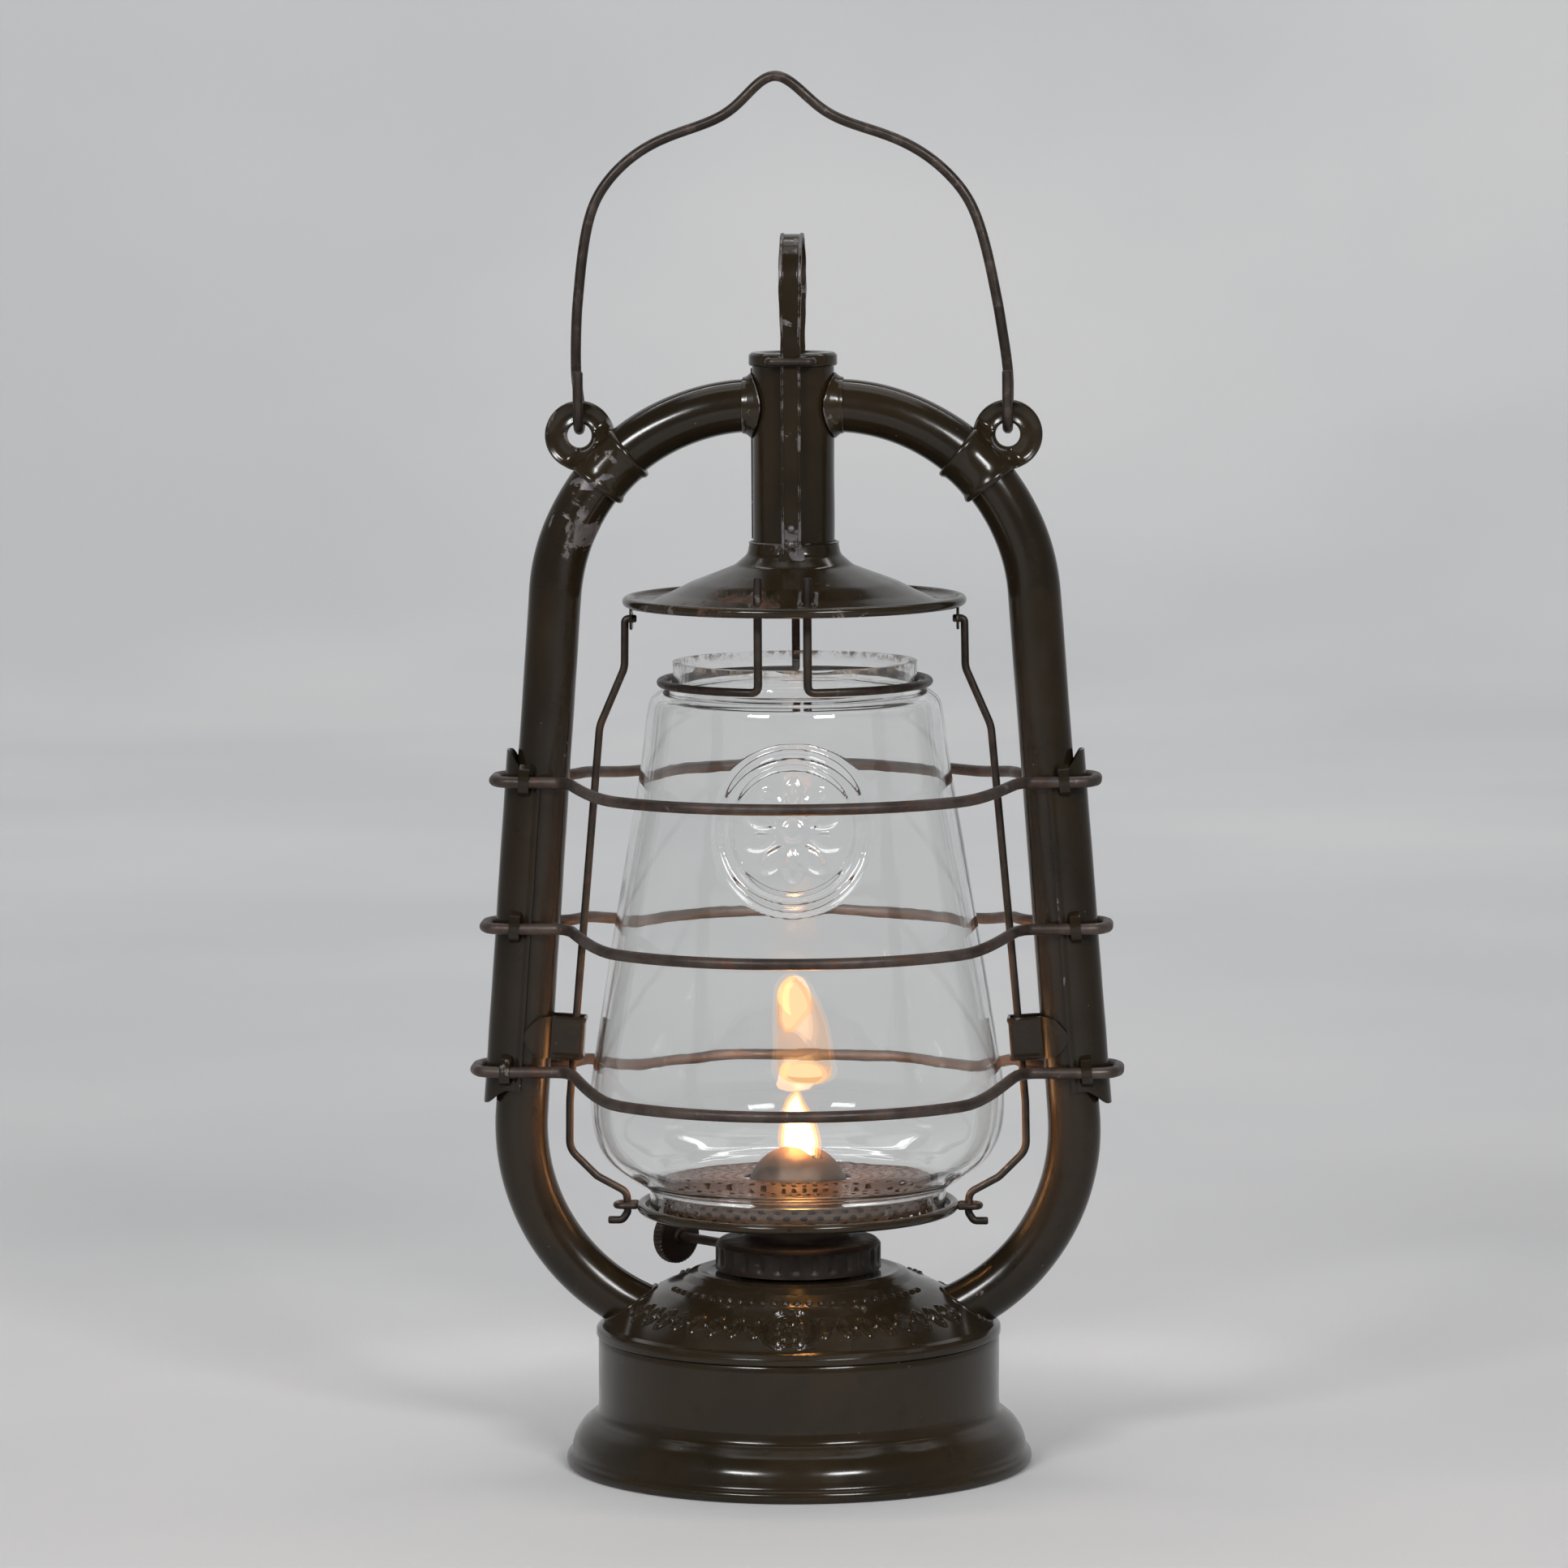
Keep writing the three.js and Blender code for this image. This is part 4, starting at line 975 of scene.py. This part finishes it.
FLANGE_R = 12.6
flare = rounded([((8.3, FLANGE_R), 0), ((9.9, 12.5), 0.3), ((10.1, 12.9), 0.3), ((9.5, 13.5), 0.6),
                 ((8.8, 14.4), 0.8), ((8.6, 15.4), 0.2), ((8.3, 15.4), 0)], steps=4, loop=True)
TUBE_SCUFFS = {-1: [(-62, -6, 292, 19, 1.0), (-55, 4, 300, 14, 0.9), (-66, -7, 281, 9, 0.8),
                    (38, -8, 318, 8, 0.35)],
               1: [(44, -4, 316, 10, 0.5), (70, -6, 290, 7, 0.3)]}
for label, side in SIDES:
    path = [Vector((side * 12.2, 0, TUBES_MEET_Z))] + arc(TOP_ARC, math.pi / 2 - 0.03, TUBE_LEAN, 48, side)
    legs = arc(LOW_ARC, TUBE_LEAN, math.radians(-66), 44, side)
    path += [path[-1].lerp(legs[0], k / 44) for k in range(1, 44)] + legs
    line = tube_foot(side)
    solder = swept(line, [0.75 + 0.25 * noise.noise(p / 4) for p in line], 10, loop=True)
    tube = joined(dented(swept(path, TUBE_R, 56), 0.14, 20), solder)
    ob = fine(f"air_tube_{label}", tube, "frame", "enamel", PAINT_TUBES)
    set_spots(ob, "scuff", TUBE_SCUFFS[side])
    flange = turned(flare, 72)
    for v in flange.verts:  # the flange hugs the round chimney
        reach = 1 - smoothstep(v.co.z, FLANGE_R, 15.4)
        v.co.z -= 0.62 * reach * (FLANGE_R - math.sqrt(FLANGE_R ** 2 - min(abs(v.co.y), 11) ** 2))
    flange = placed(flange, at((0, 0, TUBES_MEET_Z), side * RIGHT_ANGLE, "Y"))
    ob = fine(f"tube_flange_{label}", flange, "frame", "enamel", PAINT_TOP)
    set_spots(ob, "scuff", [(side * 14, -8, 322, 8, 0.8)])

# ------------------------------------------------------------------ ears and bail
EAR_X = TOP_ARC[0] + EAR_HOLE * math.cos(EAR_ANGLE)
EAR_Z = TOP_ARC[1] + EAR_HOLE * math.sin(EAR_ANGLE)
BAND_HALF, BAND_INNER = 0.121, 9.0
SPANS = [-1, -0.97, -0.9, -0.82, -0.72, -0.6, -0.3, 0, 0.3, 0.6, 0.72, 0.82, 0.9, 0.97, 1]
EAR_PROFILE = [(0, 0.3), (0.02, 0.8), (0.1, 1.1), (0.2, 0.95), (0.3, 0.6), (0.7, 0.6), (0.8, 0.95), (0.9, 1.25),
               (0.98, 0.8), (1, 0.3)]
for label, side in SIDES:
    path = [arc(TOP_ARC, EAR_ANGLE - s * BAND_HALF, EAR_ANGLE, 1, side)[0] for s in SPANS]
    swell = [BAND_INNER + 0.75 * math.exp(-((1 - abs(s)) / 0.17 - 0.9) ** 2) - (0.3 if abs(s) > 0.99 else 0)
             for s in SPANS]
    band = swept(path, [x / BAND_INNER for x in swell],
                 section=[polar(BAND_INNER, math.radians(d)) for d in range(0, 360, 6)])
    head = ring_plate(circle(3.7, 72), circle(10.6, 72), EAR_PROFILE)
    place = at((side * EAR_X, 0, EAR_Z), RIGHT_ANGLE)
    for v in head.verts:  # the plate's two skins spread apart to wrap the tube
        world = place @ v.co
        gap = math.hypot(abs(world.x) - TOP_ARC[0], world.z - TOP_ARC[1]) - TOP_ARC[2]
        spread = 1 - smoothstep(gap, 8.2, 12.5)
        if math.hypot(v.co.x, v.co.y) > 4.4:
            v.co.z += math.copysign(3.4 * spread * spread, v.co.z)
    ob = fine(f"ear_{label}", joined(band, placed(head, place)), "frame", "enamel", PAINT_TOP)
    set_spots(ob, "scuff", [(-56, -8, 309, 9, 0.9)] if side < 0 else [(60, -8, 305, 6, 0.4)])

BAIL = [(335.9, 66), (350.8, 64.8), (365.6, 63), (375.4, 61.4), (385.2, 59), (390, 56.5), (395, 52.8), (400, 48),
        (405, 41.5), (408.3, 33.5), (410, 27.7), (412.6, 19), (415, 14.2), (419.7, 9.5), (424.6, 5.5), (426.9, 1.4)]
EASED_ABOVE = 356


def bail_half(side):
    """One hook and one half of the bow, from the hook's cut end up to the middle."""
    turns = [math.pi + math.pi * i / 12 for i in range(13)]
    hook = [(side * EAR_X, BAIL_HOOK * math.cos(t), BAIL_PIVOT + BAIL_HOOK * math.sin(t)) for t in turns]
    bow = []
    for z, half in BAIL:
        lean = -5 * (z - BAIL_PIVOT) / (BAIL_TOP - BAIL_PIVOT)
        bow.append((side * half + lean, BAIL_HOOK * min(max((352 - z) / 22, 0), 1), z))
    return [(side * EAR_X, -BAIL_HOOK, BAIL_PIVOT + rise) for rise in (12.6, 6)] + hook + bow


bail_path = smooth_curve(bail_half(-1) + bail_half(1)[::-1], 6)
for _ in range(60):  # ease the bends of the bow, and leave the hooks as they are
    bail_path = [p if p.z < EASED_ABOVE else p * 0.5 + (bail_path[i - 1] + bail_path[i + 1]) * 0.25
                 for i, p in enumerate(bail_path[:-1])] + bail_path[-1:]
fine("bail", wire(bail_path, BAIL_WIRE, 22), "bail", "guard", BAIL_STEEL)

# ------------------------------------------------------------------ guards, sleeves and clips
for name, z, low in GUARDS:
    x = tube_x(z)
    quarter = []
    for i in range(22):
        a = math.radians(90 - 76 * i / 21)
        drop = smoothstep(a, math.radians(14), math.radians(42))
        quarter.append(((*polar(GUARD_R, a), z + (low - z) * drop), 0))
    back = quarter + [((71.0, GUARD_Y, z), 9.0), ((x + 6, GUARD_Y, z), 3.0), ((x + 12.6, 9.6, z), 5.0),
                      ((x + 14.6, 4.4, z), 5.0)]
    right = back + [((p[0], -p[1], p[2]), b) for p, b in back[::-1]][:-1]
    left = [((-p[0], p[1], p[2]), b) for p, b in right[::-1]]
    loop = right + [((0, -GUARD_R, low), 0)] + left[:-1]
    path = rounded([((0.0, GUARD_R, low), 0)] + loop[1:], steps=7, loop=True)
    lap = wire([(-4, GUARD_R, low), (0, GUARD_R + 0.05, low), (4, GUARD_R, low)], GUARD_WIRE + 0.22)
    fine(name, joined(swept(path, GUARD_WIRE, 20, loop=True), lap), "frame", "guard", GUARD_STEEL)


def on_leg(bm, side, z):
    """From local axes, +Z up the leg and +X outwards, to their place on a tube."""
    return mirrored(placed(bm, at((tube_x(z), 0, z), -TUBE_LEAN, "Y")), side)


SLEEVE_Z, SLEEVE_TOP, SLEEVE_OUT, SLEEVE_WIDE = 165.65, 54.7, 11.35, 9.1
SLEEVE_COLUMNS, SLEEVE_ROWS = 49, 60


def sleeve_shell():
    """Half-round sheet on the outside of a leg, with pointed ends and folded edges."""
    bm = bmesh.new()
    grid = []
    for j in range(SLEEVE_ROWS + 1):
        row = []
        for i in range(SLEEVE_COLUMNS):
            a = math.radians(-90 + 180 * i / (SLEEVE_COLUMNS - 1))
            turn = abs(math.degrees(a))
            tip = smoothstep(turn, 20, 74)
            top, base = SLEEVE_TOP - 7.5 * tip, -SLEEVE_TOP + 5.0 * tip
            r = 1 + 0.55 * ridge(turn - 88, 4, 2) / 9
            row.append(bm.verts.new((SLEEVE_OUT * math.cos(a) * r, SLEEVE_WIDE * math.sin(a) * r,
                                     base + (top - base) * j / SLEEVE_ROWS)))
        grid.append(row)
    return thick(skinned(bm, grid, slit=1), 0.6)


def guard_strap(z, face):
    """Small strap that holds one guard wire to the sleeve."""
    lean = (z - SLEEVE_Z) / math.cos(TUBE_LEAN)
    y = face * (GUARD_Y - 0.3)
    steps = [(face * 8.6, -4.6, 0), (y + face * 0.1, -3.4, 1.0), (y + face * 1.9, -1.2, 1.4)]
    steps += [(side, -up, bend) for side, up, bend in steps[::-1]]
    loop = rounded([((5.0, side, lean + up), bend) for side, up, bend in steps], steps=5)
    return swept(loop, 1.0, section=box(1.6, 0.3))


for label, side in SIDES:
    straps = [guard_strap(z, face) for _, z, _ in GUARDS for face in (-1, 1)]
    sleeve = on_leg(joined(dented(sleeve_shell(), 0.1, 14, -99), *straps), side, SLEEVE_Z)
    fine(f"sleeve_{label}", sleeve, "frame", "enamel", PAINT_TUBES)

NOSE, NOSE_HALF, CLIP_TALL, CLIP_R, CLIP_Z = 17.7, 4.2, 13.0, 8.9, 133


def clip_sheet():
    """Sheet bent round the inside of a leg, out to a square nose that holds the side wire."""
    open_angle = math.asin(NOSE_HALF / CLIP_R)
    bend = [(polar(CLIP_R, math.pi / 2 + (math.pi / 2 - open_angle) * i / 16), 0) for i in range(17)]
    line = rounded(bend + [((-NOSE, NOSE_HALF), 1.2), ((-NOSE, -NOSE_HALF), 1.2)]
                   + [((x, -y), b) for (x, y), b in bend[::-1]], steps=5)
    bm = bmesh.new()
    rows = []
    for j in range(27):
        z = -CLIP_TALL / 2 + CLIP_TALL * j / 26
        row = []
        for p in divided(line, 1.0):
            onto = smoothstep(p.x, -8.4, 0.2)  # the ends narrow to round tabs on the tube
            tall = 1 - 0.86 * (1 - math.sqrt(max(1 - onto * onto, 0)))
            lip = 0.35 * ridge(abs(z) - CLIP_TALL / 2 + 0.7, 0.6, 0.4) * (1 if p.x < -9 else 0)
            out = lip * (1 if p.x < -NOSE + 0.5 else 0)
            row.append(bm.verts.new((p.x - out, p.y * (1 + lip / 8), z * tall)))
        rows.append(row)
    return thick(skinned(bm, rows, slit=1), 0.75)


for label, side in SIDES:
    fine(f"clip_{label}", on_leg(clip_sheet(), side, CLIP_Z), "frame", "enamel", PAINT_TUBES)


# ------------------------------------------------------------------ flame
def flame_form(rows, scale, root, turn):
    """Tongue of flame from (height, half width, half depth, shift) rows, shrunk towards a root height."""
    bm = bmesh.new()
    rings = []
    for z, wide, deep, shift in smooth_curve(rows, 5):
        z = root + (z - root) * (0.5 + 0.5 * scale)
        rings.append([bm.verts.new((shift + max(wide, 0.1) * scale * math.cos(a),
                                    max(deep, 0.1) * scale * math.sin(a), z)) for a in around(32)])
    return placed(skinned(bm, rings, caps=True), Matrix.Rotation(math.radians(turn), 4, "Z"))


def tongue_rim():
    """Bright edge of the upper flame."""
    line = [(-7.0, 120.5), (-7.0, 130), (-6.9, 139), (-6.2, 146), (-3.6, 149.8), (0.2, 150), (3.8, 147.4),
            (7.6, 140.6), (9.9, 133.5), (10.8, 127), (11.4, 121.8), (8.8, 119.2), (3, 118.2), (-3, 118.4)]
    path = smooth_curve([(x, -0.3 * x, z) for x, z in line], 8, loop=True)
    radii = [0.75 + 0.5 * smoothstep(p.z, 143, 149) + 0.5 * (1 - smoothstep(p.z, 120, 126)) for p in path]
    return swept(path, radii, 14, loop=True)


def flame(name, bm, colour, strength, tinted=0.0):
    name, number = name.rsplit("_", 1)
    piece(f"{name}_{number}", bm, "wick", "wick", glow(f"{name}_glow_{number}", colour, strength, tinted),
          wear=False)


UPPER_TURN, FLAME_TINT = -16, 0.16
BODY = [(94.6, 8.4, 1.0, 1.6), (97.5, 9.4, 2.0, 1.0), (101, 9.6, 2.6, 0.9), (105, 8.2, 2.8, 0.4),
        (108.5, 6.4, 2.6, -0.4), (112, 3.8, 2.1, -1.2), (114.5, 1.8, 1.2, -0.9), (116, 0.4, 0.4, -0.5)]
BODY = [(z, wide, deep, x / math.cos(SPINDLE_TURN) * 0.73) for z, wide, deep, x in BODY]
LEAF = [(118, 5.5, 1.2, 2.3), (121, 8.9, 2.0, 2.3), (127, 8.8, 2.2, 2.0), (134, 8.3, 2.2, 1.6),
        (141, 7.0, 2.2, 0.4), (147, 4.6, 1.8, -1.3), (150.6, 1.0, 0.6, -1.8)]
BRIGHT = [(133, 1.2, 0.8, -3.0), (136.5, 4.0, 1.6, -2.2), (141, 6.0, 1.9, -0.7), (145, 5.4, 1.8, -1.1),
          (148.5, 3.2, 1.3, -1.7), (150.4, 0.8, 0.5, -1.8)]
BOWL = [(117.4, 4.8, 0.9, 2.6), (119, 7.9, 1.6, 2.4), (121.2, 8.9, 1.8, 2.3), (123.4, 7.2, 1.2, 2.3),
        (124.6, 2.8, 0.6, 2.3)]
HOT, GOLD, AMBER = (1.0, 0.90, 0.66), (1.0, 0.76, 0.42), (1.0, 0.52, 0.18)
FLAMES = [("flame_body", BODY, 98, 136.5, [(1.0, AMBER, 0.20), (0.86, AMBER, 0.45), (0.72, GOLD, 1.0),
                                           (0.55, HOT, 2.2)]),
          ("flame_leaf", LEAF, 120, UPPER_TURN, [(1.0, AMBER, 0.08)]),
          ("flame_bright", BRIGHT, 142, UPPER_TURN, [(1.0, AMBER, 0.08), (0.84, GOLD, 0.10), (0.66, HOT, 0.14)]),
          ("flame_bowl", BOWL, 120, UPPER_TURN, [(1.0, AMBER, 0.09), (0.84, GOLD, 0.12), (0.66, HOT, 0.14)])]
for name, rows, root, turn, skins in FLAMES:
    for i, (size, colour, strength) in enumerate(skins):
        flame(f"{name}_{i + 1}", flame_form(rows, size, root, turn), colour, strength, FLAME_TINT)
flame("flame_rim_1", tongue_rim(), AMBER, 0.05)


def flame_light(name, body, place, energy, size):
    lamp = bpy.data.lights.new(name, "POINT")
    lamp.energy, lamp.color, lamp.shadow_soft_size = energy, (1.0, 0.46, 0.14), size
    ob = added(name, lamp)
    ob.location = place
    ob.visible_camera = ob.visible_transmission = False
    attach(ob, body)


flame_light("flame_light", "wick", (0.001, -0.001, 0.108), 0.17, 0.006)
flame_light("plate_glow", "lift", (0.002, -0.0345, 0.0915), 0.012, 0.004)

# ------------------------------------------------------------------ studio (metres)
FLOOR_R, CURVE_R, WALL_TOP = 2.4, 1.2, 3.4


def backdrop():
    """Round floor that curves up into a wall all the way round."""
    turns = [math.pi / 2 * i / 20 for i in range(1, 21)]
    line = [(r, 0.0) for r in (0.0, 0.4, 1.2, FLOOR_R)]
    line += [(FLOOR_R + CURVE_R * math.sin(a), CURVE_R - CURVE_R * math.cos(a)) for a in turns]
    mesh = as_mesh(turned(line + [(FLOOR_R + CURVE_R, WALL_TOP)], 120, loop=False), "backdrop")
    mesh.shade_smooth()
    s = Shader("backdrop_paper")
    colour = s.mix(s.span(s.noise(1.6, 3, 0.5), 0.3, 0.7), (0.50, 0.505, 0.515), (0.57, 0.57, 0.572))
    mesh.materials.append(s.finish(s.surface(Base_Color=colour, Roughness=0.85, Specular_IOR_Level=0.2)))
    added("backdrop", mesh)


def aimed(ob, place, aim, roll=0.0):
    ob.location = place
    ob.rotation_mode = "QUATERNION"
    ob.rotation_quaternion = ((Vector(aim) - Vector(place)).to_track_quat("-Z", "Y")
                              @ Quaternion((0, 0, 1), roll))


def soft_light(name, place, aim, wide, tall, energy):
    light = bpy.data.lights.new(name, "AREA")
    light.shape, light.size, light.size_y = "RECTANGLE", wide, tall
    light.energy = energy
    aimed(added(name, light), place, aim)


backdrop()
soft_light("key_left", (-0.98, -1.88, 1.30), (0, 0, 0.2), 0.62, 0.34, 30)
soft_light("key_right", (0.98, -1.88, 1.30), (0, 0, 0.2), 0.62, 0.34, 30)
soft_light("overhead", (0, 0.1, 2.1), (0, 0.1, 0), 1.6, 1.0, 7)
soft_light("wall_high", (0, 1.6, 2.9), (0, 3.6, 0.9), 3.4, 0.6, 62)
soft_light("floor_back", (0, 0.9, 2.2), (0, 1.0, 0), 3.0, 0.7, 7)

world = bpy.data.worlds.new("studio")
bpy.context.scene.world = world
world.use_nodes = True
world.node_tree.nodes["Background"].inputs["Color"].default_value = (0.80, 0.82, 0.85, 1)
world.node_tree.nodes["Background"].inputs["Strength"].default_value = 0.07
bpy.context.scene.view_settings.view_transform = "Standard"

# ------------------------------------------------------------------ camera (metres)
VIEW_TURN, VIEW_DISTANCE, VIEW_HEIGHT, VIEW_ROLL = math.radians(3), 2.350, 0.453, math.radians(-0.35)
AIM_SIDE, AIM_HEIGHT = -0.0035, 0.2101
camera = bpy.data.cameras.new("camera")
camera.lens, camera.sensor_width = 177.0, 36.0
camera_ob = added("camera", camera)
aimed(camera_ob, (VIEW_DISTANCE * math.sin(VIEW_TURN), -VIEW_DISTANCE * math.cos(VIEW_TURN), VIEW_HEIGHT),
      (AIM_SIDE * math.cos(VIEW_TURN), AIM_SIDE * math.sin(VIEW_TURN), AIM_HEIGHT), VIEW_ROLL)
bpy.context.scene.camera = camera_ob
